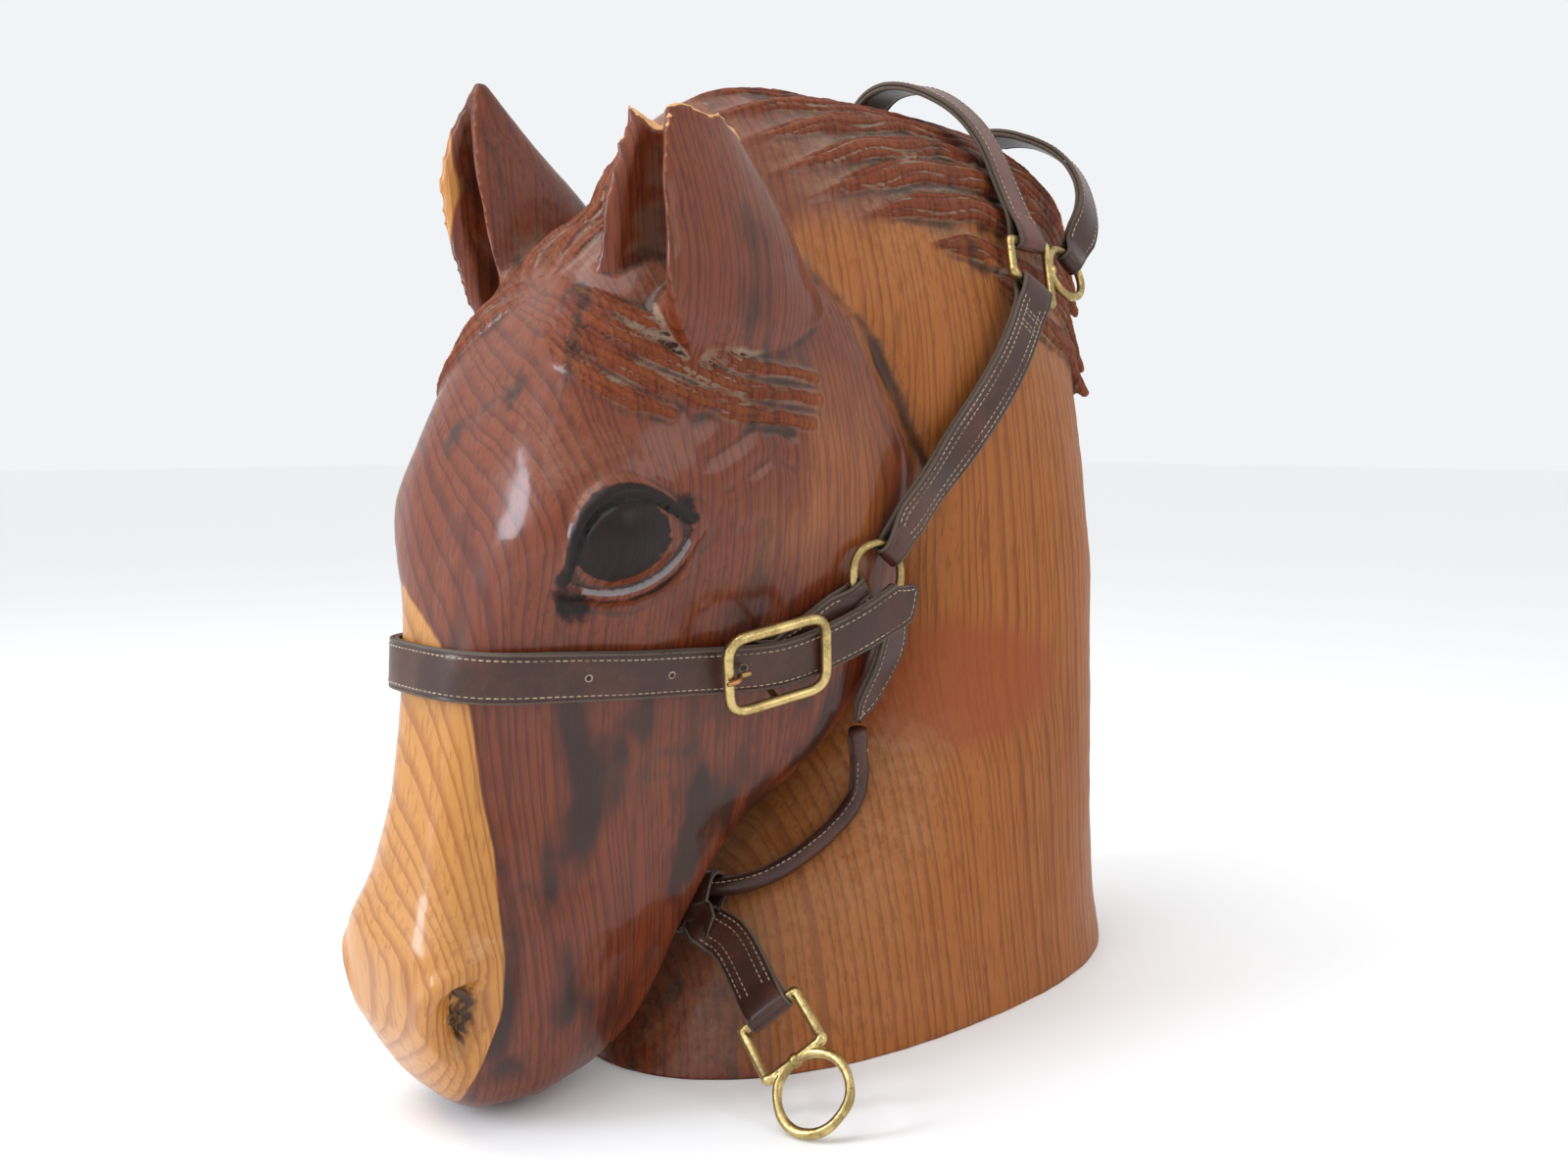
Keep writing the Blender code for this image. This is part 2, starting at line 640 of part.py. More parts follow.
def belt(name, route, outward, widths, ends, material):
    """A strap of two plies; at an end with a wire it is one ply, folded round that wire."""
    gap = fold_gap(lengths_along(route), ends)
    count = len(route)
    along = np.gradient(route, axis=0)
    widths = np.broadcast_to(widths, count)
    points, normals, sizes = [], [], []
    for end, order in ((-1, range(count)), (0, range(count - 1, -1, -1))):
        side = 1 if end else -1
        for i in order:
            points.append(route[i] + side * outward[i] * gap[i])
            normals.append(side * outward[i])
            sizes.append(widths[i])
        forward = unit(along[end]) * side
        steps = 6 if ends[end][0] else 2
        for k in range(1, steps):
            a = math.pi * k / steps
            around = side * outward[end] * math.cos(a) + forward * math.sin(a)
            points.append(route[end] + around * gap[end] / math.cos(math.pi / 2 / steps))
            normals.append(around)
            sizes.append(widths[end])
    return strip(name, points, normals, sizes, PLY, material)


def add_part(name, mesh, material):
    """A named sub-part of the horse head."""
    obj = bpy.data.objects.new(name, mesh)
    parts.objects.link(obj)
    mesh.materials.append(material)
    return obj


def ring(name, centre, normal, radius, wire):
    """A plain wire ring lying across the normal."""
    bpy.ops.mesh.primitive_torus_add(
        major_segments=RING_STEPS, minor_segments=WIRE_SIDES, major_radius=radius, minor_radius=wire
    )
    obj = bpy.context.object
    mesh = obj.data
    bpy.data.objects.remove(obj)
    mesh.transform(Vector((0, 0, 1)).rotation_difference(Vector(normal)).to_matrix().to_4x4())
    mesh.transform(Matrix.Translation(Vector(centre)))
    mesh.shade_smooth()
    return add_part(name, mesh, brass)


def join(obj, other):
    """Adds the other piece to the object, as one solid."""
    union = obj.modifiers.new("Union", "BOOLEAN")
    union.operation = "UNION"
    union.object = other
    bake(obj)
    bpy.data.objects.remove(other)


def rounded(corners, radius, steps=4):
    """A plane outline through the corners, each of them rounded off."""
    corners = np.array(corners, float)
    points = []
    for before, corner, after in zip(np.roll(corners, 1, axis=0), corners, np.roll(corners, -1, axis=0)):
        start, end = corner + radius * unit(before - corner), corner + radius * unit(after - corner)
        for t in np.linspace(0, 1, steps):
            points.append((1 - t) ** 2 * start + 2 * t * (1 - t) * corner + t * t * end)
    return np.array(points)


def in_plane(flat, centre, along, outward):
    """Points of a plane outline, placed on the object."""
    across = np.cross(outward, along)
    return np.array(centre) + flat[:, :1] * along + flat[:, 1:] * across


def stand_off(skin, centre, outward, radius, height):
    """Moves the centre of something flat and round outward until all of it is that high over the skin."""
    along = unit(np.cross(outward, (0, 0, 1)))
    across = np.cross(outward, along)
    for _ in range(20):
        lack = height - nearest(skin, centre)[2]
        for a in np.linspace(0, 2 * math.pi, 12, endpoint=False):
            rim = centre + radius * (along * math.cos(a) + across * math.sin(a))
            lack = max(lack, height - nearest(skin, rim)[2])
        if lack < 1e-5:
            break
        centre = centre + outward * lack
    return centre


def fitting(name, place, outward, way, splay, ring_way, ring_radius):
    """A cast fitting: a loop with a bar for a strap at each end, and a ring beside or below it.

    It returns the middle of each bar, the directions of their straps, and the centre of the ring.
    """
    across = np.cross(outward, way)
    turn, wide, high = LOOP_WIDE * math.tan(splay), LOOP_WIDE, LOOP_HALF
    corners = [(high - turn, wide), (turn - high, wide), (-turn - high, -wide), (high + turn, -wide)]
    outline = in_plane(rounded(corners, LOOP_CORNER), place, way, outward)
    loop = add_part(name, rod(name, outline, FITTING_WIRE, True), brass)
    ring_way = unit(ring_way - (ring_way @ outward) * outward)
    eye = place + ring_way * (abs(ring_way @ way) * high + abs(ring_way @ across) * wide + ring_radius)
    join(loop, ring("ring", eye, outward, ring_radius, FITTING_WIRE))
    upper_way = way * math.cos(splay) + across * math.sin(splay)
    lower_way = across * math.sin(splay) - way * math.cos(splay)
    return {
        "outward": outward, "eye": eye,
        "upper": place + high * way, "upper_way": upper_way,
        "lower": place - high * way, "lower_way": lower_way,
    }


def at_side(skin, side, y, z):
    """The place on the side of the carving at that y and level, both in parts, and its outward direction."""
    spot, normal, _, _ = skin.ray_cast(Vector((side * 0.4, y * PART, z * PART)), Vector((-side, 0, 0)))
    return np.array(spot), np.array(normal)


def on_ring(centre, normal, radius, towards):
    """Where a strap's fold lies in a ring, on the side of another place, and the way straight out from it."""
    away = towards - centre
    way = unit(away - away @ normal * normal)
    return centre + (radius - ring_slack(radius)) * way, way


def lead(place, way):
    """Guides that bring a strap straight up to a place from the way that it comes."""
    return [place + STRAIGHT_LEAD * share * way for share in (1, 0.5, 0)]


def ring_slack(radius):
    """How far a ring's wire curves away within the width of a strap that narrows to meet it."""
    half = NARROW_SHARE * STRAP_WIDTH / 2
    return radius - math.sqrt(radius**2 - half**2) + CLEARANCE


def narrowed(away, width=STRAP_WIDTH):
    """Strap widths that narrow towards a ring, by the distance from it."""
    full = smooth_step(NARROW_START, NARROW_END, np.asarray(away))
    return width * (NARROW_SHARE + (1 - NARROW_SHARE) * full)


def build_side(skin, side, word):
    """The cheek ring, cheek strap, throat tab and upper fitting of one side."""
    mirror = np.array([side, 1, 1])
    out = unit(CHEEK_RING_OUTWARD * mirror)
    spot, _ = at_side(skin, side, *CHEEK_RING_PLACE)
    cheek = stand_off(skin, spot, out, RING_RADIUS, PLY + 3 * CLEARANCE + RING_WIRE)
    ring(f"{word}_cheek_ring", cheek, out, RING_RADIUS, RING_WIRE)

    up = unit(UPPER_FITTING_OUTWARD * mirror)
    way = unit(UPPER_FITTING_WAY * mirror)
    way = unit(way - way @ up * up)
    spot, _ = at_side(skin, side, *UPPER_FITTING_PLACE)
    reach = LOOP_HALF + UPPER_RING_RADIUS
    place = stand_off(skin, spot, up, reach, PLY + 3 * CLEARANCE + FITTING_WIRE)
    ring_way = UPPER_RING_WAY * mirror
    upper = fitting(f"{word}_upper_fitting", place, up, way, side * UPPER_SPLAY, ring_way, UPPER_RING_RADIUS)

    slack = ring_slack(RING_RADIUS)
    ends = ((RING_WIRE, slack), (FITTING_WIRE, 0))
    start, way = on_ring(cheek, out, RING_RADIUS, upper["lower"])
    guides = [*reversed(lead(start, way)), *lead(upper["lower"], upper["lower_way"])]
    route, normals = lay_route(guides, [skin], STRAP_WIDTH, ends, (out, up), 18)
    belt(f"{word}_cheek_strap", route, normals, narrowed(lengths_along(route)), ends, leather)

    low_end = THROAT_TAB_END * mirror * PART
    spot, face, _ = nearest(skin, low_end)
    low_end = spot + face * (PLY + SEAM / 2 + 6 * CLEARANCE)
    start, way = on_ring(cheek, out, RING_RADIUS, cheek + THROAT_TAB_WAY * mirror)
    ends = ((RING_WIRE, slack), (0, 0))
    faces = out, unit(THROAT_TAB_FACE * mirror)
    route, normals = lay_route([*reversed(lead(start, way)), low_end], [skin], TAB_LEAF, ends, faces, 11)
    share = lengths_along(route) / lengths_along(route)[-1]
    leaf = TAB_LEAF * np.interp(share, (0, 0.12, 0.45, 0.75, 0.9, 1), (0.6, 0.68, 1, 0.8, 0.48, 0.16))
    belt(f"{word}_throat_tab", route, normals, leaf, ends, leather)
    return {"cheek": cheek, "out": out, "upper": upper, "tab": route[-1]}


def build_crown(skin, left, right):
    """The crown strap, arched over the mane, and the looped strap behind it."""
    half = np.array(CROWN_GUIDES) * PART
    fits = left["upper"], right["upper"]
    first, last = (lead(fit["upper"], fit["upper_way"]) for fit in fits)
    guides = [*reversed(first), *half, *(half[-2::-1] * (-1, 1, 1)), *last]
    faces = [fit["outward"] for fit in fits]
    ends = ((FITTING_WIRE, 0), (FITTING_WIRE, 0))
    route, normals = lay_route(guides, [skin], STRAP_WIDTH, ends, faces, 27, 2)
    belt("crown_strap", route, normals, STRAP_WIDTH, ends, leather)

    half = np.array(REAR_GUIDES) * PART
    first, last = (
        lead(*on_ring(fit["eye"], fit["outward"], UPPER_RING_RADIUS, half[0] * side))
        for fit, side in zip(fits, (1, (-1, 1, 1)))
    )
    slack = ring_slack(UPPER_RING_RADIUS)
    ends = ((FITTING_WIRE, slack), (FITTING_WIRE, slack))
    guides = [*reversed(first), *half, *(half[-2::-1] * (-1, 1, 1)), *last]
    route, normals = lay_route(guides, [skin], STRAP_WIDTH, ends, faces, 25, 2)
    run = lengths_along(route)
    belt("rear_crown_strap", route, normals, narrowed(np.minimum(run, run[-1] - run)), ends, leather)


def build_throat(skin, left, right):
    """The rolled throat strap under the jaw, the strap that hangs from it and the lower fitting."""
    half = np.array(THROAT_GUIDES) * PART
    below = np.array([0, 0, ROLL_RADIUS + 3 * CLEARANCE])
    guides = [left["tab"] - below, *half, *(half[-2::-1] * (-1, 1, 1)), right["tab"] - below]
    route = spaced(curve_through(guides, 12), 26)
    for _ in range(6):
        for point in route:
            _, face, gap = nearest(skin, point)
            point += face * max(0, ROLL_RADIUS + 2 * CLEARANCE - gap)
    add_part("rolled_throat_strap", rod("rolled_throat_strap", route, ROLL_RADIUS), leather)

    out, way = unit(LOWER_FITTING_OUTWARD), unit(LOWER_FITTING_WAY)
    way = unit(way - way @ out * out)
    rest = LOWER_RING_RADIUS * math.hypot(out[0], out[1]) + FITTING_WIRE + CLEARANCE
    eye = np.array([LOWER_RING_PLACE[0] * PART, LOWER_RING_PLACE[1] * PART, rest])
    place = eye + way * (LOOP_HALF + LOWER_RING_RADIUS)
    lower = fitting("lower_fitting", place, out, way, 0, -way, LOWER_RING_RADIUS)

    i = int(np.argmin(np.abs(route[:, 0] - HANGING_STRAP_X * PART)))
    bend = np.array(HANGING_GUIDES) * PART
    count = 14
    roll_way, bar_way = unit(route[i - 1] - route[i + 1]), np.cross(out, way)
    down = unit(bend[0] - route[i] - (bend[0] - route[i]) @ roll_way * roll_way)
    guides = [*reversed(lead(route[i], down)), *bend, *lead(lower["upper"], way)]
    path = spaced(curve_through(guides, 12), count)
    share = np.linspace(0, 1, count)[:, None]
    across = (1 - share) * roll_way + share * bar_way
    normals = np.array([unit(np.cross(a, t)) for a, t in zip(across, np.gradient(path, axis=0))])
    ends = ((ROLL_RADIUS + ROLL_BEND, 0), (FITTING_WIRE, 0))
    belt("hanging_strap", path, normals, STRAP_WIDTH, ends, leather)


def build_noseband(skin, left, right):
    """The noseband, the buckle on the left cheek and the folded tab that holds the buckle."""
    spot, face = at_side(skin, 1, *BUCKLE_PLACE)
    way = unit(BUCKLE_WAY - (BUCKLE_WAY @ face) * face)
    across = np.cross(face, way)
    bar = spot + face * (PLY + 3 * CLEARANCE + BUCKLE_BAR)
    start, out_way = on_ring(left["cheek"], left["out"], RING_RADIUS, bar)
    ends = ((RING_WIRE, ring_slack(RING_RADIUS)), (BUCKLE_BAR, 0))
    route, normals = lay_route(
        [*reversed(lead(start, out_way)), *lead(bar, -way)], [skin], TAB_WIDTH, ends, (left["out"], face), 12
    )
    tab = belt("buckle_tab", route, normals, narrowed(lengths_along(route), TAB_WIDTH), ends, leather)

    under = ("left_cheek_ring", "left_throat_tab")
    layers = [skin, skin_of(tab), *(skin_of(bpy.data.objects[name]) for name in under)]
    near = np.array(NOSEBAND_GUIDES) * PART
    far_end = np.array(NOSEBAND_FAR_END) * PART
    last = lead(*on_ring(right["cheek"], right["out"], RING_RADIUS, far_end))
    ends = ((0, 0), (RING_WIRE, ring_slack(RING_RADIUS)))
    guides = [*near, *(near[:3:-1] * (-1, 1, 1)), far_end, *last]
    route, normals = lay_route(guides, layers, STRAP_WIDTH, ends, (left["out"], right["out"]), 50)
    run = lengths_along(route)
    round_end = STRAP_WIDTH * np.sqrt(1 - (1 - np.clip(run / BILLET_ROUND, BILLET_TIP, 1)) ** 2)
    strap = belt("noseband", route, normals, np.minimum(round_end, narrowed(run[-1] - run)), ends, leather)

    layers.append(skin_of(strap))
    half_length, half_width = BUCKLE_LENGTH / 2, BUCKLE_WIDTH / 2
    corners = np.array([(1, 1), (-1, 1), (-1, -1), (1, -1)]) * (half_length, half_width)
    outline = rounded(corners, BUCKLE_CORNER)
    centre = bar
    for _ in range(12):
        rim = in_plane(outline, centre, way, face)
        lack = BUCKLE_WIRE + 2 * CLEARANCE - min(height_over(layers, p, face) for p in rim)
        centre = centre + face * max(0, lack)
    buckle = add_part("buckle", rod("buckle", rim, BUCKLE_WIRE, True), brass)
    drop = (bar - centre) @ face
    bend = [(half_width, 0), (half_width - BUCKLE_WIRE / 2, 0.45 * drop), (STRAP_WIDTH / 2 + BAR_ROOM, drop)]
    bend += [(-x, z) for x, z in reversed(bend)]
    points = [centre + across * x + face * z for x, z in bend]
    join(buckle, add_part("bar", rod("bar", points, BUCKLE_BAR), brass))
    over = BUCKLE_WIRE + TONGUE + 2 * CLEARANCE
    bend = [(-TONGUE_LENGTH, -0.2 * TONGUE), (-0.54 * TONGUE_LENGTH, 0), (-TONGUE_REACH, 0.8 * over)]
    bend.append((TONGUE_REACH, over))
    points = [centre + way * (half_length + x) + face * z for x, z in bend]
    add_part("buckle_tongue", rod("buckle_tongue", points, TONGUE), brass)


def build_halter(carving):
    """Every piece of leather and brass, laid on the carving."""
    skin = skin_of(carving)
    left, right = build_side(skin, 1, "left"), build_side(skin, -1, "right")
    build_crown(skin, left, right)
    build_throat(skin, left, right)
    build_noseband(skin, left, right)


def make_material(name, color, roughness, metallic=0.0):
    material = bpy.data.materials.new(name)
    material.use_nodes = True
    shader = material.node_tree.nodes["Principled BSDF"]
    shader.inputs["Base Color"].default_value = (*color, 1)
    shader.inputs["Roughness"].default_value = roughness
    shader.inputs["Metallic"].default_value = metallic
    return material


for old in list(bpy.data.objects):
    bpy.data.objects.remove(old)
wood = make_material("oiled heartwood", (0.30, 0.075, 0.022), 0.35)
leather = make_material("dark leather", (0.035, 0.014, 0.010), 0.5)
brass = make_material("aged brass", (0.48, 0.34, 0.12), 0.35, 1.0)
parts = bpy.data.collections.new("horse head sculpture")
bpy.context.scene.collection.children.link(parts)
carving = make_carving()
bpy.context.scene.collection.objects.unlink(carving)
parts.objects.link(carving)
carving.data.materials.append(wood)
carving.data.shade_smooth()
build_halter(carving)
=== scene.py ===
import math

import bmesh
import bpy
import numpy as np
from mathutils import Matrix, Vector, noise
from mathutils.bvhtree import BVHTree
from mathutils.kdtree import KDTree


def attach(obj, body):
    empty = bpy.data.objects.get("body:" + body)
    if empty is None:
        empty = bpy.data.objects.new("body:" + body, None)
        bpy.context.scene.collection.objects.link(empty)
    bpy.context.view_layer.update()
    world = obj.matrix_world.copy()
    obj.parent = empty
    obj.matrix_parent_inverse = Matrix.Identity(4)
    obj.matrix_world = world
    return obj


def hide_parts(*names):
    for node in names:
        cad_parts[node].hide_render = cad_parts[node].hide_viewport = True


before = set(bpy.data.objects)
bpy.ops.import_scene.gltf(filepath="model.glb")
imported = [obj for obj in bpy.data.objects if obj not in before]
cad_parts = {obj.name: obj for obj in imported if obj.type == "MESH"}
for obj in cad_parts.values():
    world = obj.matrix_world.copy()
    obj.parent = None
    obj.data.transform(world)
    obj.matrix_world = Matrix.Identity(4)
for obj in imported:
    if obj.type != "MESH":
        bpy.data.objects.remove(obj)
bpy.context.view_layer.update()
for item in bpy.context.selected_objects:
    item.select_set(False)
mm = 0.001
print("frame loaded")


# camera, floor and light

view = {"place": (0.650, -0.670, 0.350), "turn": (84, 0, 47), "lens": 33.3, "sensor": 36}
bpy.ops.object.camera_add(location=view["place"], rotation=[math.radians(a) for a in view["turn"]])
camera = bpy.context.object
camera.data.lens = view["lens"]
camera.data.sensor_width = view["sensor"]
camera.data.clip_start = 0.01
bpy.context.scene.camera = camera

studio = {
    "worldColor": (0.96, 0.98, 1.0), "worldStrength": 0.92,
    "lamps": [
        # name, place, aimed at, width, height, power, color
        ("overhead", (-0.25, -0.75, 1.75), (0.0, -0.05, 0.25), 1.5, 1.2, 15, (1.0, 0.98, 0.95)),
        ("window", (-0.55, -1.75, 0.85), (0.0, -0.30, 0.32), 0.40, 0.95, 19, (0.78, 0.88, 1.0)),
        ("side", (1.55, 0.35, 0.95), (0.05, 0.05, 0.30), 0.8, 0.8, 4, (1.0, 0.96, 0.9)),
    ],
}
for name, place, aim, width, height, power, color in studio["lamps"]:
    bpy.ops.object.light_add(type="AREA", location=place)
    lamp = bpy.context.object
    lamp.name = name
    lamp.data.shape = "RECTANGLE"
    lamp.data.size, lamp.data.size_y = width, height
    lamp.data.energy = power
    lamp.data.color = color
    lamp.rotation_euler = (Vector(aim) - Vector(place)).to_track_quat("-Z", "Y").to_euler()
world = bpy.data.worlds.new("pale room")
world.use_nodes = True
world.node_tree.nodes["Background"].inputs["Color"].default_value = (*studio["worldColor"], 1)
world.node_tree.nodes["Background"].inputs["Strength"].default_value = studio["worldStrength"]
bpy.context.scene.world = world
bpy.context.scene.view_settings.view_transform = "Standard"


# materials

class Wire:
    # wraps a socket, so that sums and products of it add Math nodes
    def __init__(self, tree, socket=None):
        self.tree = tree
        self.socket = socket

    def node(self, kind, settings=None, inputs=None, output=0):
        made = self.tree.nodes.new(kind)
        for name, value in (settings or {}).items():
            setattr(made, name, value)
        for key, value in (inputs or {}).items():
            target = made.inputs[key]
            if isinstance(value, Wire):
                self.tree.links.new(value.socket, target)
            elif target.type == "RGBA":
                target.default_value = (*value, 1)
            else:
                target.default_value = value
        return Wire(self.tree, made.outputs[output])

    def math(self, operation, *values):
        inputs = dict(enumerate(values))
        return self.node("ShaderNodeMath", {"operation": operation}, inputs)

    def __add__(self, other):
        return self.math("ADD", self, other)

    def __sub__(self, other):
        return self.math("SUBTRACT", self, other)

    def __rsub__(self, other):
        return self.math("SUBTRACT", other, self)

    def __mul__(self, other):
        return self.math("MULTIPLY", self, other)

    __radd__ = __add__
    __rmul__ = __mul__

    def power(self, other):
        return self.math("POWER", self, other)

    def high(self, other):
        return self.math("MAXIMUM", self, other)

    def low(self, other):
        return self.math("MINIMUM", self, other)

    def step(self, start, end, bottom=0.0, top=1.0):
        # from bottom at start to top at end, eased
        settings = {"interpolation_type": "SMOOTHSTEP"}
        if start > end:
            start, end, bottom, top = end, start, top, bottom
        return self.node("ShaderNodeMapRange", settings, {0: self, 1: start, 2: end, 3: bottom, 4: top})

    def mixed(self, first, second, share):
        # a colour between two others
        inputs = {0: share, 6: first, 7: second}
        return self.node("ShaderNodeMix", {"data_type": "RGBA"}, inputs, 2)

    def field(self, name):
        # a value that the piece carries at each of its points
        return self.node("ShaderNodeAttribute", {"attribute_name": name}, output="Fac")

    def scaled(self, factors):
        return self.node("ShaderNodeVectorMath", {"operation": "MULTIPLY"}, {0: self, 1: factors})

    def grain(self, scale, detail=3.0, roughness=0.55, distortion=0.0):
        inputs = {
            "Vector": self, "Scale": scale, "Detail": detail, "Roughness": roughness, "Distortion": distortion,
        }
        return self.node("ShaderNodeTexNoise", None, inputs)

    def cells(self, scale):
        # small rounded hollows, side by side
        return self.node("ShaderNodeTexVoronoi", {"feature": "F1"}, {"Vector": self, "Scale": scale})

    def bump(self, strength, distance):
        inputs = {"Strength": strength, "Distance": distance, "Height": self}
        return self.node("ShaderNodeBump", None, inputs)


def newMaterial(name, fixed):
    # an empty material, its shader, and a wire to build with
    material = bpy.data.materials.new(name)
    material.use_nodes = True
    tree = material.node_tree
    shader = tree.nodes["Principled BSDF"]
    for socket, value in fixed.items():
        shader.inputs[socket].default_value = value
    wire = Wire(tree)
    place = wire.node("ShaderNodeTexCoord", output="Object")
    return material, shader, wire, place


def plug(wire, shader, sockets):
    for name, value in sockets.items():
        wire.tree.links.new(value.socket, shader.inputs[name])


wood = {
    "pith": (0.065, -0.054), "ringsPerMetre": 225,
    "redHeart": (0.165, 0.032, 0.009), "redLate": (0.060, 0.010, 0.004),
    "orangeHeart": (0.325, 0.104, 0.021), "orangeLate": (0.165, 0.043, 0.009),
    "sapwood": (0.49, 0.215, 0.048), "sapLate": (0.29, 0.092, 0.018),
    # the char colour serves the black of the eye and also the painted shade in the nostril
    # the dark streak colour serves the wood's dark streaks and also the painted shade in deep grooves
    "darkStreakAndShade": (0.020, 0.007, 0.004), "charAndShade": (0.005, 0.005, 0.006),
    "dust": (0.27, 0.19, 0.13), "film": (0.50, 0.33, 0.20), "raw": (0.66, 0.36, 0.16),
    "lidGrey": (0.20, 0.20, 0.21), "knot": (0.26, 0.055, 0.016),
}


def woodMaterial():
    fixed = {"IOR": 1.5, "Specular IOR Level": 0.22, "Coat Roughness": 0.13, "Coat IOR": 1.5}
    material, shader, wire, place = newMaterial("oiled wood", fixed)
    # growth rings around a leaning, wandering pith
    upright = place.scaled((1.0, 1.0, 0.045))
    drift = place.scaled((1.0, 1.0, 0.45)).grain(4.0, 2.0)
    apart = wire.node("ShaderNodeSeparateXYZ", None, {0: place})
    x, y, z = (Wire(wire.tree, socket) for socket in apart.socket.node.outputs)
    knotField = wire.field("knot")
    turned = wire.field("turned")
    acrossX = x - wood["pith"][0] * (1 - turned)
    acrossY = y - wood["pith"][1] + (z - 0.25) * 0.10 + 0.20 * turned
    radius = (acrossX * acrossX + acrossY * acrossY).power(0.5)
    ripple = upright.grain(30, 2.0)
    radius = radius + (drift - 0.5) * 0.016 + (ripple - 0.5) * 0.005 + knotField * 0.006
    phase = radius * wood["ringsPerMetre"] * (1 - 0.32 * turned)
    slow = {"W": phase * 0.35, "Scale": 1.0, "Detail": 1.0}
    uneven = wire.node("ShaderNodeTexNoise", {"noise_dimensions": "1D"}, slow)
    phase = phase + uneven * 2.2
    share = phase.math("FRACT", phase)
    late = share.step(0.45, 0.93) * share.step(1.0, 0.95)
    # fibres and vessels run up the block
    fibre = upright.grain(420, 3.0, 0.6)
    streaky = upright.grain(38, 3.0, 0.6, 0.4)
    cloudy = place.grain(7, 3.0, 0.5)
    late = (late * 0.85 + 0.15 * fibre).low(1.0)
    neck, sapField = wire.field("neck"), wire.field("sap")
    sap = (sapField + (streaky - 0.5) * 3.0).step(-0.6, 0.8)
    warm = (neck + (streaky - 0.5) * 0.9 + (cloudy - 0.5) * 1.5 + wire.field("glow")).step(0.15, 0.95)
    early = wire.mixed(wood["redHeart"], wood["orangeHeart"], warm)
    dark = wire.mixed(wood["redLate"], wood["orangeLate"], warm)
    early = wire.mixed(early, wood["sapwood"], sap)
    dark = wire.mixed(dark, wood["sapLate"], sap)
    color = wire.mixed(early, dark, late * (0.72 + 0.1 * sap))
    color = wire.mixed(color, dark, fibre.step(0.50, 0.68) * 0.55)
    darker = streaky.step(0.53, 0.70) * (1 - warm) * (1 - sap) * 0.8
    color = wire.mixed(color, wood["darkStreakAndShade"], darker)
    # the knot patch on the neck is redder
    knot = (knotField + (streaky - 0.5) * 0.5 + (cloudy - 0.5) * 0.5).step(0.15, 0.75)
    color = wire.mixed(color, wood["knot"], knot * 0.75)
    # dark streaks down the face and jaw
    spots = place.scaled((1.0, 1.0, 0.40)).grain(31, 2.0, 0.5, 0.3)
    blotch, edge = spots.step(0.57, 0.65), spots.step(0.48, 0.62)
    streaks = wire.field("streaks") * (1 - sap) * (1 - neck)
    color = wire.mixed(color, dark, edge * streaks * 0.8)
    color = wire.mixed(color, wood["darkStreakAndShade"], blotch * streaks * 0.85)
    # carved grooves are painted dark where they are deep, as painted shade, and hold dust where they are shallow
    groove, hair = wire.field("groove"), wire.field("hair")
    specks = place.grain(160, 4.0, 0.7)
    patchy = place.scaled((1.0, 1.0, 2.2)).grain(34, 3.0, 0.6)
    hollow = groove + (specks - 0.5) * 0.25
    # painted shade: the deepest parts of the grooves are darkened in colour
    grooveShade = (hollow + (patchy - 0.5) * 0.9).step(0.18, 0.95)
    color = wire.mixed(color, wood["darkStreakAndShade"], grooveShade * 0.84)
    inPatches = (patchy + (cloudy - 0.5) * 0.8).step(0.34, 0.66)
    dusty = hollow.step(-0.15, 0.35) * hollow.step(1.3, 0.5) * inPatches
    color = wire.mixed(color, wood["dust"], dusty * (hair * 0.85 + 0.03) * (1 - 0.6 * sap))
    worn = (groove * -1.0 + (specks - 0.5) * 0.5 + (patchy - 0.5) * 1.6).step(0.1, 1.4)
    color = wire.mixed(color, wood["orangeHeart"], worn * hair * 0.22)
    film = wire.field("film") * (cloudy + (specks - 0.5) * 0.5).step(0.35, 0.75)
    color = wire.mixed(color, wood["film"], film * 0.55)
    # scorched eye, painted shade deep in the nostril, and broken ear
    charAndShadeField = wire.field("charAndShade")
    charAndShade = (charAndShadeField + (streaky - 0.5) * 0.9 + (specks - 0.5) * 0.35).step(0.35, 0.62)
    color = wire.mixed(color, wood["charAndShade"], charAndShade * 0.94)
    lid = wire.field("lidEdge")
    color = wire.mixed(color, wood["lidGrey"], (lid + (specks - 0.5) * 0.3).step(0.3, 0.7) * 0.75)
    raw = wire.field("raw").step(0.4, 0.6)
    color = wire.mixed(color, wood["raw"], raw)
    hue = (specks - 0.5) * 0.16 + 1.0
    color = color.node("ShaderNodeVectorMath", {"operation": "SCALE"}, {0: color, "Scale": hue})
    rough = 0.34 + 0.12 * fibre + 0.22 * hair + 0.45 * raw + 0.15 * film + 0.14 * neck + (specks - 0.5) * 0.16
    rough = rough - 0.12 * wire.field("wet")
    facets = place.scaled((1, 1, 0.6)).cells(95.0)
    height = late * 0.10 + fibre * 0.16 + facets * (0.22 + 0.8 * hair) + specks * (0.10 + 0.3 * hair + raw)
    normal = height.bump(0.55, 0.0016)
    coat = (0.40 - 0.36 * hair - 0.5 * raw - 0.35 * neck - 0.5 * charAndShade + (cloudy - 0.5) * 0.5).high(0.0)
    plug(wire, shader, {"Base Color": color, "Roughness": rough, "Normal": normal, "Coat Weight": coat})
    return material


leather = {
    "color": (0.036, 0.012, 0.007), "light": (0.085, 0.029, 0.016), "edge": (0.105, 0.078, 0.060),
    "worn": (0.19, 0.15, 0.12), "red": (0.13, 0.030, 0.014), "seam": (0.012, 0.006, 0.005),
    "thread": (0.40, 0.31, 0.22), "dirtyThread": (0.16, 0.10, 0.065),
    # the two hole colours are painted shade for the insides of punched holes
    "holeShadeDark": (0.010, 0.006, 0.005), "holeShadeLight": (0.030, 0.018, 0.012),
}


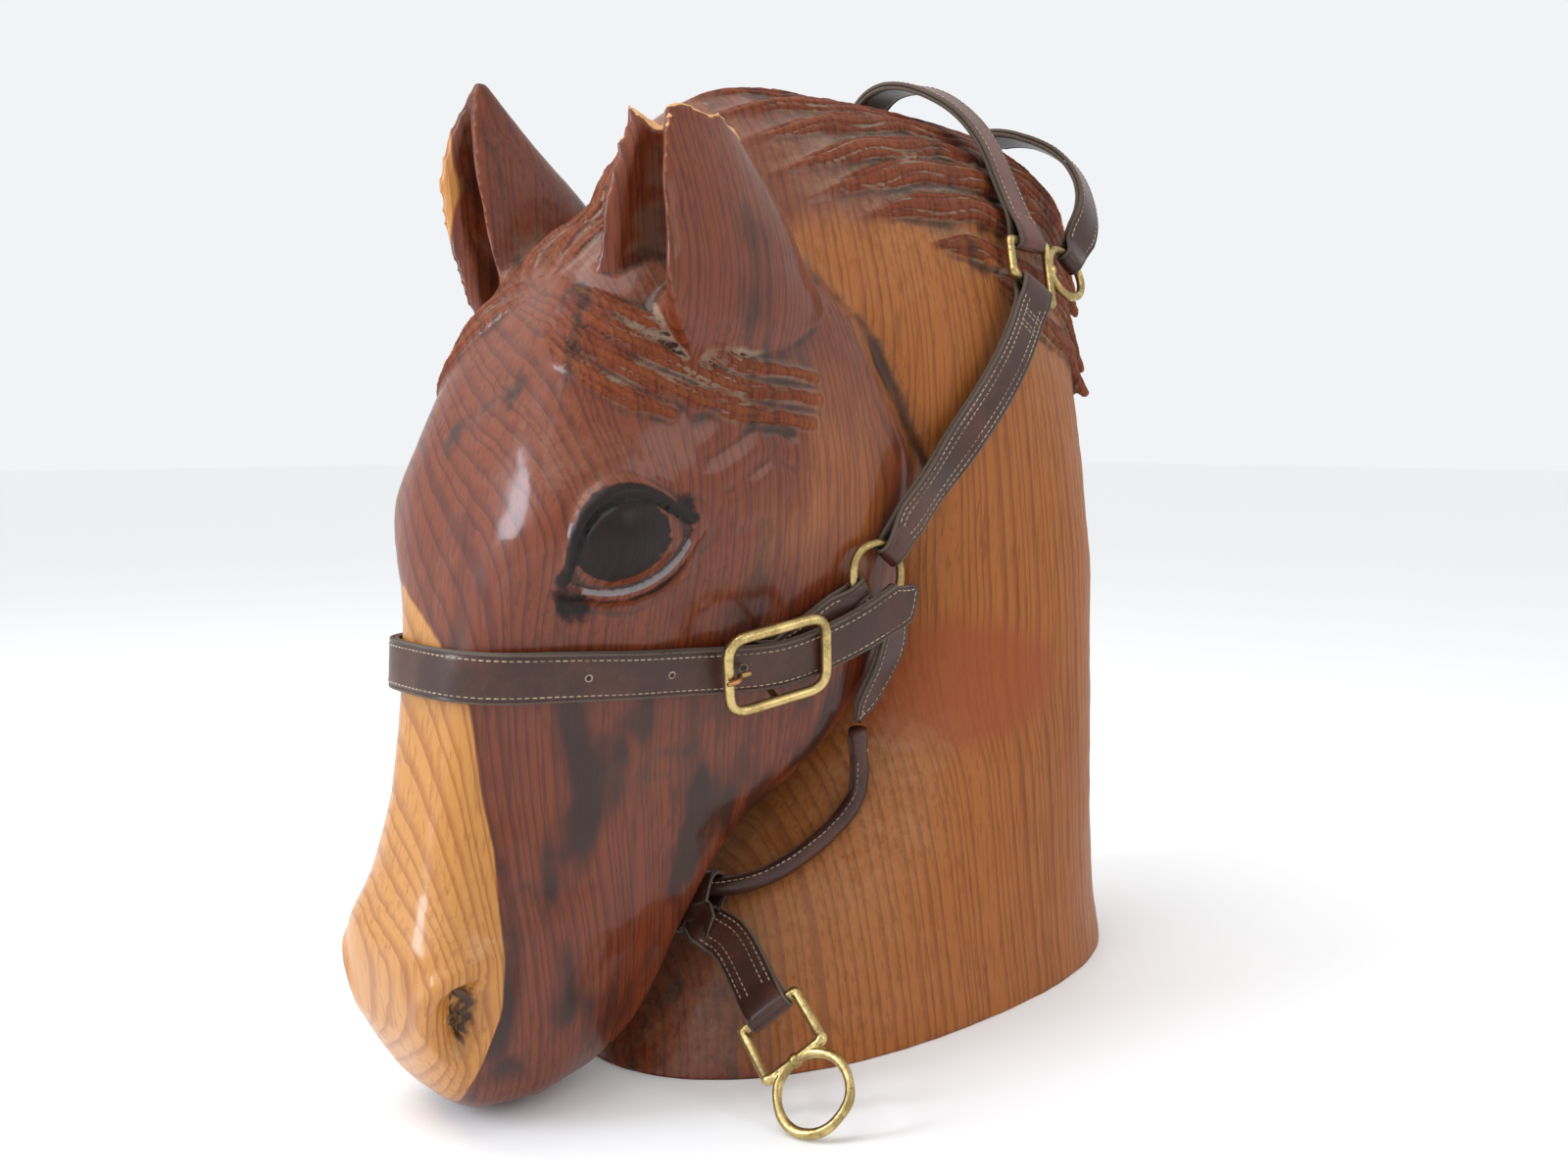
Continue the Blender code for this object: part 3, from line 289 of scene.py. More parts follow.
def leatherMaterial(name, wear, redness):
    # wear greys the edges and scuffs the face, redness is the rubbed face of the crown strap
    fixed = {"IOR": 1.48, "Specular IOR Level": 0.3, "Coat Roughness": 0.22}
    material, shader, wire, place = newMaterial(name, fixed)
    cloud = place.grain(26, 3.0, 0.6)
    specks = place.grain(420, 4.0, 0.7)
    pores = place.cells(780.0)
    creases = place.grain(120, 3.0, 0.6, 1.2)
    edge, side, face = wire.field("edge"), wire.field("side"), wire.field("face")
    lighter = (cloud + (specks - 0.5) * 0.35).step(0.40, 0.75) * 0.75
    color = wire.mixed(leather["color"], leather["light"], lighter)
    redder = (cloud + (creases - 0.5) * 0.6).step(0.34, 0.62) * redness * face
    color = wire.mixed(color, leather["red"], redder)
    rubbed = (edge + (specks - 0.5) * 0.9 + (cloud - 0.5) * 0.8).step(0.62, 1.02)
    color = wire.mixed(color, leather["edge"], rubbed * wear)
    scuffs = (creases + (specks - 0.5) * 0.5).step(0.66, 0.80) * cloud.step(0.45, 0.62)
    color = wire.mixed(color, leather["worn"], scuffs * 0.45 * wear)
    rawSide = (side * 0.75 + (specks - 0.5) * 0.7).step(0.3, 0.9) * 0.65
    color = wire.mixed(color, leather["edge"], rawSide)
    seam = wire.field("seam")
    color = wire.mixed(color, leather["seam"], seam * 0.85)
    rough = 0.36 + 0.16 * cloud + 0.22 * rubbed + 0.25 * side + (specks - 0.5) * 0.14
    height = pores * 0.25 + creases * 0.55 + specks * 0.25 - seam * 1.6
    normal = height.bump(0.32, 0.0006)
    coat = (0.30 - 0.35 * side - 0.3 * rubbed).high(0.0)
    plug(wire, shader, {"Base Color": color, "Roughness": rough, "Normal": normal, "Coat Weight": coat})
    return material


def threadMaterial():
    material, shader, wire, place = newMaterial("waxed thread", {"Roughness": 0.65})
    specks = place.grain(900, 2.0)
    dirt = place.grain(60, 3.0)
    dirty = (dirt + (specks - 0.5) * 0.4).step(0.38, 0.72)
    color = wire.mixed(leather["thread"], leather["dirtyThread"], dirty)
    plug(wire, shader, {"Base Color": color, "Normal": specks.bump(0.3, 0.0003)})
    return material


brass = {
    "bright": (0.62, 0.47, 0.20), "dull": (0.33, 0.235, 0.095), "dirt": (0.055, 0.036, 0.016),
    "copper": (0.45, 0.20, 0.085),
}


def brassMaterial(name, bright, dull):
    material, shader, wire, place = newMaterial(name, {"IOR": 1.45})
    cloud = place.grain(55, 3.0, 0.6)
    specks = place.grain(640, 3.0, 0.65)
    pits = place.cells(330.0)
    color = wire.mixed(bright, dull, (cloud + (specks - 0.5) * 0.5).step(0.36, 0.66))
    stain = (place.grain(140, 3.0, 0.6) + (pits - 0.5) * 0.12).step(0.62, 0.72)
    color = wire.mixed(color, brass["dirt"], stain * 0.7)
    rough = 0.25 + 0.20 * cloud + 0.28 * stain + (specks - 0.5) * 0.15
    metal = 1.0 - stain * 0.5
    height = pits * 0.5 + specks * 0.35 + cloud * 0.6
    normal = height.bump(0.25, 0.0006)
    plug(wire, shader, {"Base Color": color, "Roughness": rough, "Metallic": metal, "Normal": normal})
    return material


def holeShadeMaterial():
    # painted shade: the colour of a disc that stands in for the shade inside a punched hole
    material, shader, wire, place = newMaterial("painted shade in a hole", {"Roughness": 0.8})
    specks = place.grain(700, 2.0)
    plug(wire, shader, {"Base Color": wire.mixed(leather["holeShadeDark"], leather["holeShadeLight"], specks)})
    return material


def floorMaterial():
    material, shader, wire, place = newMaterial("pale floor", {"Roughness": 0.6})
    shade = place.grain(1.5, 2.0)
    plug(wire, shader, {"Base Color": wire.mixed((0.96, 0.96, 0.96), (0.95, 0.95, 0.95), shade)})
    return material


materials = {
    "wood": woodMaterial(),
    "strap": leatherMaterial("halter leather", 1.0, 0.10),
    "crown": leatherMaterial("rubbed halter leather", 1.0, 0.75),
    "rear": leatherMaterial("dark halter leather", 0.75, 0.0),
    "thread": threadMaterial(),
    "brass": brassMaterial("aged brass", brass["bright"], brass["dull"]),
    "copper": brassMaterial("coppery brass", brass["copper"], brass["dull"]),
    # painted shade for the insides of punched holes
    "dark": holeShadeMaterial(),
    "floor": floorMaterial(),
}
bpy.ops.mesh.primitive_plane_add(size=30, location=(0, 0, -0.0004))
floor = bpy.context.object
floor.name = "floor"
floor.data.materials.append(materials["floor"])
print("materials and floor made")


# the carving, in millimetres, level by level from the cut under the neck

head = {
    # level, front, back, half width of the flat front, at the middle, towards the back
    "levels": [
        (4, -298, -240, 16, 22, 18), (12, -312, -224, 30, 38, 28), (34, -328, -200, 42, 48, 38),
        (62, -340, -184, 50, 54, 44), (92, -343, -164, 51, 55, 46), (125, -332, -138, 43, 52, 48),
        (165, -322, -88, 39, 55, 64), (205, -315, -54, 43, 64, 78), (250, -308, -37, 53, 77, 88),
        (290, -302, -30, 66, 90, 92), (330, -294, -30, 70, 95, 93), (370, -277, -46, 68, 94, 90),
        (410, -256, -66, 60, 86, 84), (440, -233, -88, 50, 72, 70), (462, -208, -110, 36, 54, 50),
    ],
    # level, front, back, half width, squareness of the oval
    "neckLevels": [
        (-16, -214, 208, 117, 2.3), (0, -209, 207, 117, 2.3), (30, -186, 199, 114, 2.3),
        (80, -146, 192, 110, 2.3), (140, -90, 184, 107, 2.3), (200, -56, 178, 105, 2.3),
        (260, -44, 174, 104, 2.3), (320, -80, 172, 102, 2.3), (380, -130, 173, 97, 2.2),
        (430, -186, 178, 88, 2.1), (470, -196, 182, 76, 2.0), (503, -182, 180, 62, 2.0),
        (526, -158, 156, 44, 2.0), (540, -134, 116, 27, 2.0), (547, -100, 60, 9, 2.0),
    ],
    "baseGrain": 2.8, "grain": 1.9, "baseSmoothing": 18, "smoothing": 5, "triangles": 190000,
}


def smoothThrough(levels, where):
    # rows at the levels asked for, on a monotone cubic through each column
    table = np.array(levels, float)
    at, values = table[:, 0], table[:, 1:]
    slope = np.diff(values, axis=0) / np.diff(at)[:, None]
    tangent = np.zeros_like(values)
    tangent[0], tangent[-1] = slope[0], slope[-1]
    sameWay = slope[:-1] * slope[1:] > 0
    mean = 2 * slope[:-1] * slope[1:] / np.where(sameWay, slope[:-1] + slope[1:], 1)
    tangent[1:-1] = np.where(sameWay, mean, 0)
    k = np.clip(np.searchsorted(at, where, side="right") - 1, 0, len(at) - 2)
    gap = (at[k + 1] - at[k])[:, None]
    t = (where - at[k])[:, None] / gap
    rows = values[k] * (1 + 2 * t) * (1 - t) ** 2 + values[k + 1] * t * t * (3 - 2 * t)
    rows += tangent[k] * gap * t * (1 - t) ** 2 + tangent[k + 1] * gap * t * t * (t - 1)
    return np.column_stack([where, rows])


def outlineThrough(corners, steps):
    corners = np.array(corners, float)
    t = np.linspace(0, 1, steps, endpoint=False)[:, None]
    spans = []
    for a, b, c, d in zip(*(np.roll(corners, shift, axis=0) for shift in (1, 0, -1, -2))):
        cubic = 2 * b + (c - a) * t + (2 * a - 5 * b + 4 * c - d) * t**2 + (3 * b - a - 3 * c + d) * t**3
        spans.append(cubic / 2)
    return np.concatenate(spans)


def curveThrough(corners, steps):
    corners = np.array(corners, float)
    gaps = np.linalg.norm(np.diff(corners, axis=0), axis=1)[:, None]
    slopes = np.diff(corners, axis=0) / gaps
    inner = (gaps[1:] * slopes[:-1] + gaps[:-1] * slopes[1:]) / (gaps[1:] + gaps[:-1])
    tangents = np.concatenate([slopes[:1], inner, slopes[-1:]])
    t = np.linspace(0, 1, steps, endpoint=False)[:, None]
    spans = []
    for i, gap in enumerate(gaps):
        ends = corners[i] * (1 + 2 * t) * (1 - t) ** 2 + corners[i + 1] * t * t * (3 - 2 * t)
        spans.append(ends + gap * (tangents[i] * t * (1 - t) ** 2 + tangents[i + 1] * t * t * (t - 1)))
    return np.concatenate([*spans, corners[-1:]])


def headSection(front, back, flat, middle, rear):
    depth = back - front
    side = [
        (0.62 * flat, front + 0.012 * depth), (flat, front + 0.085 * depth),
        (0.93 * middle, front + 0.28 * depth), (middle, front + 0.5 * depth),
        (rear, front + 0.82 * depth), (0.84 * rear, front + 0.97 * depth),
    ]
    return outlineThrough([(0, front), *side, (0, back), *[(-x, y) for x, y in reversed(side)]], 7)


def neckSection(front, back, halfWidth, squareness):
    turn = np.linspace(0, 2 * math.pi, 96, endpoint=False)
    c, s = np.cos(turn), np.sin(turn)
    power = 2 / squareness
    x = halfWidth * np.sign(s) * np.abs(s) ** power
    return np.column_stack([x, (front + back) / 2 - (back - front) / 2 * np.sign(c) * np.abs(c) ** power])


ears = {
    # level, inner side, outer side, front, back, share of the depth hollowed
    "left": [
        (372, 34, 84, -196, -110, 0.0), (410, 37, 100, -226, -102, 0.05), (437, 45, 104, -236, -120, 0.34),
        (465, 50, 101, -236, -138, 0.46), (490, 54, 95, -230, -158, 0.48), (510, 57, 89, -222, -173, 0.46),
        (530, 62, 82, -216, -190, 0.40),
    ],
    "right": [
        (372, 34, 78, -196, -110, 0.0), (410, 35, 82, -224, -102, 0.05), (437, 43, 86, -237, -118, 0.34),
        (465, 51, 96, -240, -136, 0.48), (490, 58, 101, -240, -158, 0.50), (515, 65, 97, -237, -186, 0.46),
        (535, 69, 84, -233, -210, 0.34), (546, 71, 76, -230, -222, 0.12),
    ],
    "rim": 9, "breakLevel": 505, "breakDepth": 5,
}


def earSection(inner, outer, front, back, hollow):
    middle, half, depth = (inner + outer) / 2, (outer - inner) / 2, back - front
    turn = np.linspace(0, math.pi, 25)
    cup = np.column_stack([middle + half * np.cos(turn), front + depth * np.sin(turn) ** 0.8])
    turn = turn[1:-1]
    room = max(half - ears["rim"], 0.2 * half)
    inside = np.column_stack([middle - room * np.cos(turn), front + hollow * depth * np.sin(turn) ** 0.8 - 1])
    return np.concatenate([cup, inside])


def newObject(name, data):
    obj = bpy.data.objects.new(name, data)
    bpy.context.scene.collection.objects.link(obj)
    return obj


def meshObject(name, points, faces):
    mesh = bpy.data.meshes.new(name)
    mesh.from_pydata([tuple(p) for p in points], [], faces)
    edit = bmesh.new()
    edit.from_mesh(mesh)
    bmesh.ops.recalc_face_normals(edit, faces=edit.faces)
    edit.to_mesh(mesh)
    edit.free()
    return newObject(name, mesh)


def bandFaces(rings, around, closed=False):
    # the quads between neighbouring rings of points, and from the last ring to the first if closed
    faces = []
    for i in range(rings if closed else rings - 1):
        k = (i + 1) % rings
        for j in range(around):
            m = (j + 1) % around
            faces.append((i * around + j, i * around + m, k * around + m, k * around + j))
    return faces


def endFaces(rings, around):
    # the caps of a tube that isn't closed
    return tuple(reversed(range(around))), tuple((rings - 1) * around + j for j in range(around))


def loft(rings):
    around = len(rings[0])
    bottom, top = endFaces(len(rings), around)
    return meshObject("loft", np.concatenate(rings), [bottom, *bandFaces(len(rings), around), top])


def levelRings(levels, where, section):
    rings = []
    for level, *values in smoothThrough(levels, where):
        outline = section(*values)
        rings.append(np.column_stack([outline, np.full(len(outline), level)]) * mm)
    return rings


def loftLevels(table, section):
    bottom, top = table[0][0], table[-1][0]
    return loft(levelRings(table, bottom + np.linspace(0, 1, 96) * (top - bottom), section))


def makeEar(side, table, top):
    levels = np.append(np.arange(table[0][0], top, 4.0), top)
    rings = levelRings(table, levels, earSection)
    if top < table[-1][0]:
        around = np.arange(len(rings[-1]))
        teeth = np.sin(around * 0.6) + 0.8 * np.sin(around * 1.35 + 1) + 0.5 * np.sin(around * 2.9)
        rings[-1][:, 2] += ears["breakDepth"] * mm * teeth
    for ring in rings:
        ring[:, 0] *= side
    return loft(rings)


def applyAll(obj):
    # applies the piece's modifiers in order
    bpy.context.view_layer.objects.active = obj
    for modifier in list(obj.modifiers):
        bpy.ops.object.modifier_apply(modifier=modifier.name)


def finishPiece(obj, name, material, node):
    obj.name = name
    obj.data.name = name
    if not obj.data.materials:
        obj.data.materials.append(material)
    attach(obj, "root")
    if node:
        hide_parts(node)
    return obj


def joinMasses(name, masses, grain, smoothing):
    edit = bmesh.new()
    for mass in masses:
        edit.from_mesh(mass.data)
        bpy.data.objects.remove(mass)
    mesh = bpy.data.meshes.new(name)
    edit.to_mesh(mesh)
    edit.free()
    obj = newObject(name, mesh)
    remesh = obj.modifiers.new("even skin", "REMESH")
    remesh.mode = "VOXEL"
    remesh.voxel_size = grain * mm
    soften = obj.modifiers.new("soften", "SMOOTH")
    soften.factor = 0.5
    soften.iterations = smoothing
    applyAll(obj)
    return obj


def skinOf(obj):
    points = [v.co for v in obj.data.vertices]
    return BVHTree.FromPolygons(points, [tuple(p.vertices) for p in obj.data.polygons])


def rod(name, points, radii, closed=False, roundness=3):
    curve = bpy.data.curves.new(name, "CURVE")
    curve.dimensions = "3D"
    curve.bevel_depth = 1
    curve.bevel_resolution = roundness
    curve.use_fill_caps = True
    spline = curve.splines.new("POLY")
    spline.points.add(len(points) - 1)
    for point, spot, radius in zip(spline.points, points, np.broadcast_to(radii, len(points))):
        point.co = (*spot, 1)
        point.radius = radius
    spline.use_cyclic_u = closed
    guide = newObject(name, curve)
    mesh = bpy.data.meshes.new_from_object(guide.evaluated_get(bpy.context.evaluated_depsgraph_get()))
    bpy.data.objects.remove(guide)
    edit = bmesh.new()
    edit.from_mesh(mesh)
    bmesh.ops.remove_doubles(edit, verts=edit.verts, dist=1e-6)
    bmesh.ops.recalc_face_normals(edit, faces=edit.faces)
    edit.to_mesh(mesh)
    edit.free()
    mesh.shade_smooth()
    return newObject(name, mesh)


hairPaths = []      # spots, outward directions and radii along every strand, for the fine grooves


def strand(corners, radius, proud, skin, flick=0.0):
    path = curveThrough(corners, 8)
    points, outward, radii = [], [], []
    for i, spot in enumerate(path):
        s = i / (len(path) - 1)
        width = radius * (0.25 + 0.75 * min(1, 4 * s)) * min(1, 0.28 + 2.4 * (1 - s))
        foot, normal, _, _ = skin.find_nearest(Vector(spot * mm))
        lift = proud * min(1, 0.2 + 3 * s) - width + flick * max(0, (s - 0.82) / 0.18) ** 2
        points.append(foot + normal * lift * mm)
        outward.append(normal)
        radii.append(width * mm)
    hairPaths.append((np.array(points), np.array(outward), np.array(radii)))
    return rod("strand", points, radii)


mane = {
    "starts": [(82, 30, 446), (74, -62, 470), (58, -117, 486), (34, -142, 512), (6, -158, 532)],
    "middles": [(84, 84, 420), (74, 36, 480), (55, 19, 518), (28, 20, 543), (0, 10, 556)],
    "tips": [(66, 166, 372), (58, 184, 420), (44, 194, 462), (24, 200, 492), (2, 200, 516)],
    "locks": 7, "radius": 11.5, "proud": 5.5, "flick": 9,
    # how far a lock bows before its middle and after it, and how far its tip is turned up or down
    "bow": (2, 0, 5), "fall": (5, 10, 12), "tipTurn": 6,
}


def makeMane(skin):
    locks = []
    share = np.linspace(0, 1, mane["locks"] + 1)
    guides = [curveThrough(mane[row], 12) for row in ("starts", "middles", "tips")]
    for side in (1, -1):
        for k, a in enumerate(share):
            if side < 0 and k == mane["locks"]:
                continue
            a = min(1, a + (0.5 / mane["locks"] if side < 0 else 0))
            start, middle, tip = (guide[round(a * (len(guide) - 1))] for guide in guides)
            bow = 0.5 * (start + middle) + mane["bow"]
            fall = 0.5 * (middle + tip) + mane["fall"]
            corners = np.array([start, bow, middle, fall, tip]) * (side, 1, 1)
            corners[-1] += (0, 0, mane["tipTurn"] * (-1) ** k)
            locks.append(strand(corners, mane["radius"], mane["proud"], skin, mane["flick"]))
    return locks


forelock = {
    "strands": [
        ([(14, -240, 432), (50, -244, 419), (76, -228, 408), (98, -196, 392), (97, -126, 381)], 7),
        ([(18, -246, 426), (54, -248, 409), (80, -230, 394), (95, -186, 376), (95, -124, 369)], 8),
        ([(22, -250, 419), (56, -254, 398), (78, -236, 381), (93, -188, 364), (95, -130, 356)], 8),
        ([(24, -254, 412), (54, -260, 388), (74, -247, 372), (86, -218, 360)], 7),
        ([(6, -243, 431), (-24, -248, 421), (-56, -256, 402), (-82, -250, 380), (-96, -236, 368)], 7),
        ([(4, -248, 424), (-22, -256, 410), (-50, -268, 390), (-78, -262, 366)], 7),
        ([(14, -238, 432), (4, -226, 446), (-4, -206, 470), (-2, -176, 506)], 8),
        ([(20, -240, 430), (20, -228, 444), (18, -206, 470), (14, -176, 506)], 7),
        ([(0, -242, 428), (-18, -230, 440), (-24, -206, 468), (-18, -178, 500)], 7),
    ],
    "proud": 3.5,
}


def makeForelock(skin):
    return [strand(corners, radius, forelock["proud"], skin) for corners, radius in forelock["strands"]]


def smoothStep(start, end, value):
    t = np.clip((value - start) / (end - start), 0, 1)
    return t * t * (3 - 2 * t)


def bell(value, width):
    # 1 at nought, falling away smoothly to both sides
    return np.exp(-((value / width) ** 2))


def lengthsAlong(path):
    return np.append(0, np.cumsum(np.linalg.norm(np.diff(path, axis=0), axis=1)))


def between(where, run, rows):
    # places or directions at the distances asked for
    return np.column_stack([np.interp(where, run, rows[:, i]) for i in range(3)])


def distanceTo(points, path):
    # how far each point is from the path, and how far along it lies, from 0 to 1
    path = np.asarray(path, float)
    nearest, along = np.full(len(points), np.inf), np.zeros(len(points))
    for i, (a, b) in enumerate(zip(path, path[1:])):
        way = b - a
        t = np.clip((points - a) @ way / (way @ way), 0, 1)
        gap = np.linalg.norm(points - a - t[:, None] * way, axis=1)
        closer = gap < nearest
        nearest[closer] = gap[closer]
        along[closer] = ((i + t) / (len(path) - 1))[closer]
    return nearest, along


def localFrame(outward, along):
    outward = np.array(outward) / np.linalg.norm(outward)
    along = np.array(along) - np.dot(along, outward) * outward
    along /= np.linalg.norm(along)
    return along, np.cross(outward, along), outward


eye = {
    "centre": (81, -241, 297), "outward": (0.86, -0.50, 0.06), "slit": (0.28, 0.88, 0.37),
    "length": 68, "height": 42, "socket": (82, -258, 304), "swelling": 16,
}


def eyeMeasures(points):
    # places along, across and out of the eye, and how far inside the lids a point is
    along, across, outward = localFrame(eye["outward"], eye["slit"])
    offset = points - np.array(eye["centre"])
    u, v, w = offset @ along + 2, offset @ across, offset @ outward
    arch = np.clip(1 - np.abs(2 * u / eye["length"]) ** 2.2, 0, 1)
    inside = np.minimum(-5 + 0.67 * eye["height"] * arch - v, v + 5 + 0.33 * eye["height"] * arch)
    beyond = -np.hypot(np.abs(u) - eye["length"] / 2, v + 5)
    return u, v, w, np.where(np.abs(u) > eye["length"] / 2, beyond, inside)


def eyeRelief(points):
    along, across, outward = localFrame(eye["outward"], eye["slit"])
    u, v, w, inside = eyeMeasures(points)
    here = w > -40
    fromSocket = points - np.array(eye["socket"])
    spread = np.hypot(fromSocket @ along / 40, fromSocket @ across / 34)
    swelling = eye["swelling"] * np.exp(-(spread**2.4))
    ball = smoothStep(0, 4, inside) * (9 * (1 - (u**2 + (v - 2) ** 2) / 34**2) - 4)
    lid = 2.0 * bell(inside + 4, 5) - 1.4 * bell(inside + 13, 5)
    groove = -1.3 * bell(inside - 0.6, 1.4) - 0.9 * bell(inside + 9, 1.3) * (v < 5)
    return (here * (swelling + ball + lid * (inside < 0) + groove))[:, None] * outward


nostril = {"centre": (47, -323, 66), "outward": (0.76, -0.64, 0.05), "length": 46, "width": 28, "depth": 13}


def nostrilMeasures(points):
    along, across, outward = localFrame(nostril["outward"], (0, 0.25, 1))
    offset = points - np.array(nostril["centre"])
    u, v, w = offset @ along, offset @ across, offset @ outward
    bend = v + 0.008 * u**2
    return u, bend, w, np.hypot(2 * u / nostril["length"], 2 * bend / nostril["width"])


def nostrilRelief(points):
    u, bend, w, ring = nostrilMeasures(points)
    cavity = -nostril["depth"] * smoothStep(1.05, 0.6, ring)
    flare = 3.0 * bell(ring - 1.35, 0.35) * smoothStep(-30, 20, u)
    rough = smoothStep(1.1, 0.85, ring) * 1.1 * np.sin(u * 0.75 + bend * 0.5) * np.sin(bend * 0.9 + 1)
    return (w > -25) * (cavity + flare + rough)


def meshArrays(obj):
    count = len(obj.data.vertices)
    points, normals = np.empty(count * 3), np.empty(count * 3)
    obj.data.vertices.foreach_get("co", points)
    obj.data.vertex_normals.foreach_get("vector", normals)
    return points.reshape(-1, 3), normals.reshape(-1, 3)


def hairMeasures(points):
    # for each point: how far across and along its nearest strand it lies, and that strand's radius and number
    parts = []
    for k, (path, outward, width) in enumerate(hairPaths):
        run = lengthsAlong(path)
        fine = np.arange(0, run[-1], 0.0015)
        spot = between(fine, run, path)
        way = np.gradient(spot, axis=0)
        way /= np.linalg.norm(way, axis=1)[:, None]
        sideways = np.cross(between(fine, run, outward), way)
        parts.append((spot, way, sideways, np.interp(fine, run, width), fine, np.full(len(fine), k)))
    spots, ways, acrosses, radii, runs, owners = (np.concatenate(column) for column in zip(*parts))
    tree = KDTree(len(spots))
    for i, spot in enumerate(spots):
        tree.insert(spot, i)
    tree.balance()
    found = [tree.find(p)[1:] for p in points]
    index, far = np.array([f[0] for f in found]), np.array([f[1] for f in found])
    offset = points - spots[index]
    across = np.einsum("ij,ij->i", offset, acrosses[index])
    along = runs[index] + np.einsum("ij,ij->i", offset, ways[index])
    return across, along, radii[index], owners[index], far


def proudOf(points, skin):
    # how far each point stands off the smooth skin, in millimetres
    return np.array([(Vector(p) - skin.find_nearest(p)[0]).length for p in points]) / mm


def softenEars(obj):
    # evens the rims of the ears, but not the broken top
    points, _ = meshArrays(obj)
    x, y, z = points.T / mm
    share = smoothStep(425, 440, z) * (np.abs(x) > 36) * (y < -105) * (1 - (x > 0) * smoothStep(486, 494, z))
    soft = smoothed(points, edgesOf(obj), len(points), 10)
    points += (soft - points) * share[:, None]
    return points


# the crease behind the jaw, and the depths of the grooves in the hair
fold = {"path": [(82, -84, 420), (90, -48, 362), (92, -26, 312), (90, -20, 268)], "depth": 6, "width": 7}
hairCuts = {"groove": 1.7, "between": 2.4, "chisel": 0.2, "raise": 1.0}


def carve(obj, baseSkin):
    # raises and lowers the skin for the eyes, nostrils, folds, hair grooves and tool marks
    points = softenEars(obj)
    _, normals = meshArrays(obj)
    side = np.where(points[:, :1] < 0, [-1, 1, 1], [1, 1, 1])
    eitherSide = points / mm * side
    away, along = distanceTo(eitherSide, curveThrough(fold["path"], 6))
    height = -fold["depth"] * np.sin(math.pi * along) ** 0.6 * bell(away, fold["width"])
    height += nostrilRelief(eitherSide)
    across, run, radius, owner, far = hairMeasures(points)
    onHair = (far < radius * 1.3) * smoothStep(0.8, 2.2, proudOf(points, baseSkin))
    share = across / radius + 0.16 * np.sin(run / 0.011 + owner)
    grooves = bell((np.abs(share) - 0.36) * radius / mm, 1.0) + 0.35 * bell(share * radius / mm, 0.9)
    chisel = np.sin(run / 0.0034 + 3 * np.sin(run / 0.012 + owner) + share * 2)
    apart = bell(np.abs(share) - 1.0, 0.22)
    locks = -hairCuts["groove"] * grooves + hairCuts["chisel"] * chisel + hairCuts["raise"]
    fade = smoothStep(0.0015, 0.006, radius)
    height += onHair * fade * (locks - hairCuts["between"] * apart)
    height += toolMarks(eitherSide, points)
    points += (normals * height[:, None] + eyeRelief(eitherSide) * side) * mm
    obj.data.vertices.foreach_set("co", points.ravel())
    obj.data.update()


marks = {
    # short gouge cuts on the near side: y and level of both ends, half width and depth
    "cuts": [
        ((-200, 338), (-178, 350), 4.2, 0.9), ((-188, 322), (-166, 336), 3.6, 0.8),
        ((-172, 354), (-148, 350), 4.4, 0.9), ((-160, 340), (-142, 330), 3.4, 0.7),
        ((-178, 302), (-162, 304), 3.8, 0.7), ((-206, 356), (-194, 366), 4.0, 0.9),
        ((-148, 318), (-134, 326), 3.6, 0.6), ((-206, 276), (-196, 266), 3.6, 0.6),
    ],
    "facets": 0.5,
}


def toolMarks(eitherSide, points):
    flat = eitherSide[:, 1:]
    height = np.zeros(len(flat))
    for start, end, width, depth in marks["cuts"]:
        start, way = np.array(start, float), np.array(end, float) - start
        t = np.clip((flat - start) @ way / (way @ way), 0, 1)
        gap = np.linalg.norm(flat - start - t[:, None] * way, axis=1)
        height -= depth * bell(gap, width)
        height += 0.4 * depth * bell(gap - 2 * width, width)
    height *= eitherSide[:, 0] > 62
    lumps = np.array([noise.noise(Vector(p) * 42) + 0.5 * noise.noise(Vector(p) * 110) for p in points])
    return height + marks["facets"] * lumps


def cutUnderside(obj):
    bpy.ops.object.select_all(action="DESELECT")
    obj.select_set(True)
    bpy.context.view_layer.objects.active = obj
    bpy.ops.object.mode_set(mode="EDIT")
    bpy.ops.mesh.select_all(action="SELECT")
    bpy.ops.mesh.bisect(plane_co=(0, 0, 0), plane_no=(0, 0, -1), clear_outer=True, use_fill=True)
    bpy.ops.mesh.quads_convert_to_tris()
    bpy.ops.object.mode_set(mode="OBJECT")
    obj.select_set(False)


def addField(obj, name, values):
    field = obj.data.attributes.new(name, "FLOAT", "POINT")
    field.data.foreach_set("value", np.ascontiguousarray(values, np.float32))


def edgesOf(obj):
    edges = np.empty(len(obj.data.edges) * 2, int)
    obj.data.edges.foreach_get("vertices", edges)
    return edges.reshape(-1, 2)


def smoothed(values, edges, count, rounds):
    share = np.bincount(edges.ravel(), minlength=count)[:, None]
    for _ in range(rounds):
        total = np.empty_like(values)
        for i in range(values.shape[1]):
            total[:, i] = np.bincount(edges[:, 0], values[edges[:, 1], i], count)
            total[:, i] += np.bincount(edges[:, 1], values[edges[:, 0], i], count)
        values = 0.4 * values + 0.6 * total / share
    return values


grainMarks = {
    # where the sapwood of the nose begins: level and distance from the pith
    "blaze": [
        (20, 262), (28, 262), (69, 248.4), (108, 246.5), (146, 246), (180, 250.4), (219, 253.7),
        (250, 260.6), (262, 264), (280, 270),
    ],
    # spots of sapwood on the far side: centre and reach
    "spots": [((-104, -262, 312), 33), ((-96, -236, 368), 9)],
    # patches on the near side of the neck: centre and half sizes, as y and level
    "knot": ((2, 201), (78, 40)), "glow": ((-112, 318), (52, 80)),
}


def patchReach(place, patch):
    # squared distance from a patch's centre, in shares of its half sizes
    centre, half = patch
    return (((place[:, 1:] - centre) / half) ** 2).sum(axis=1)


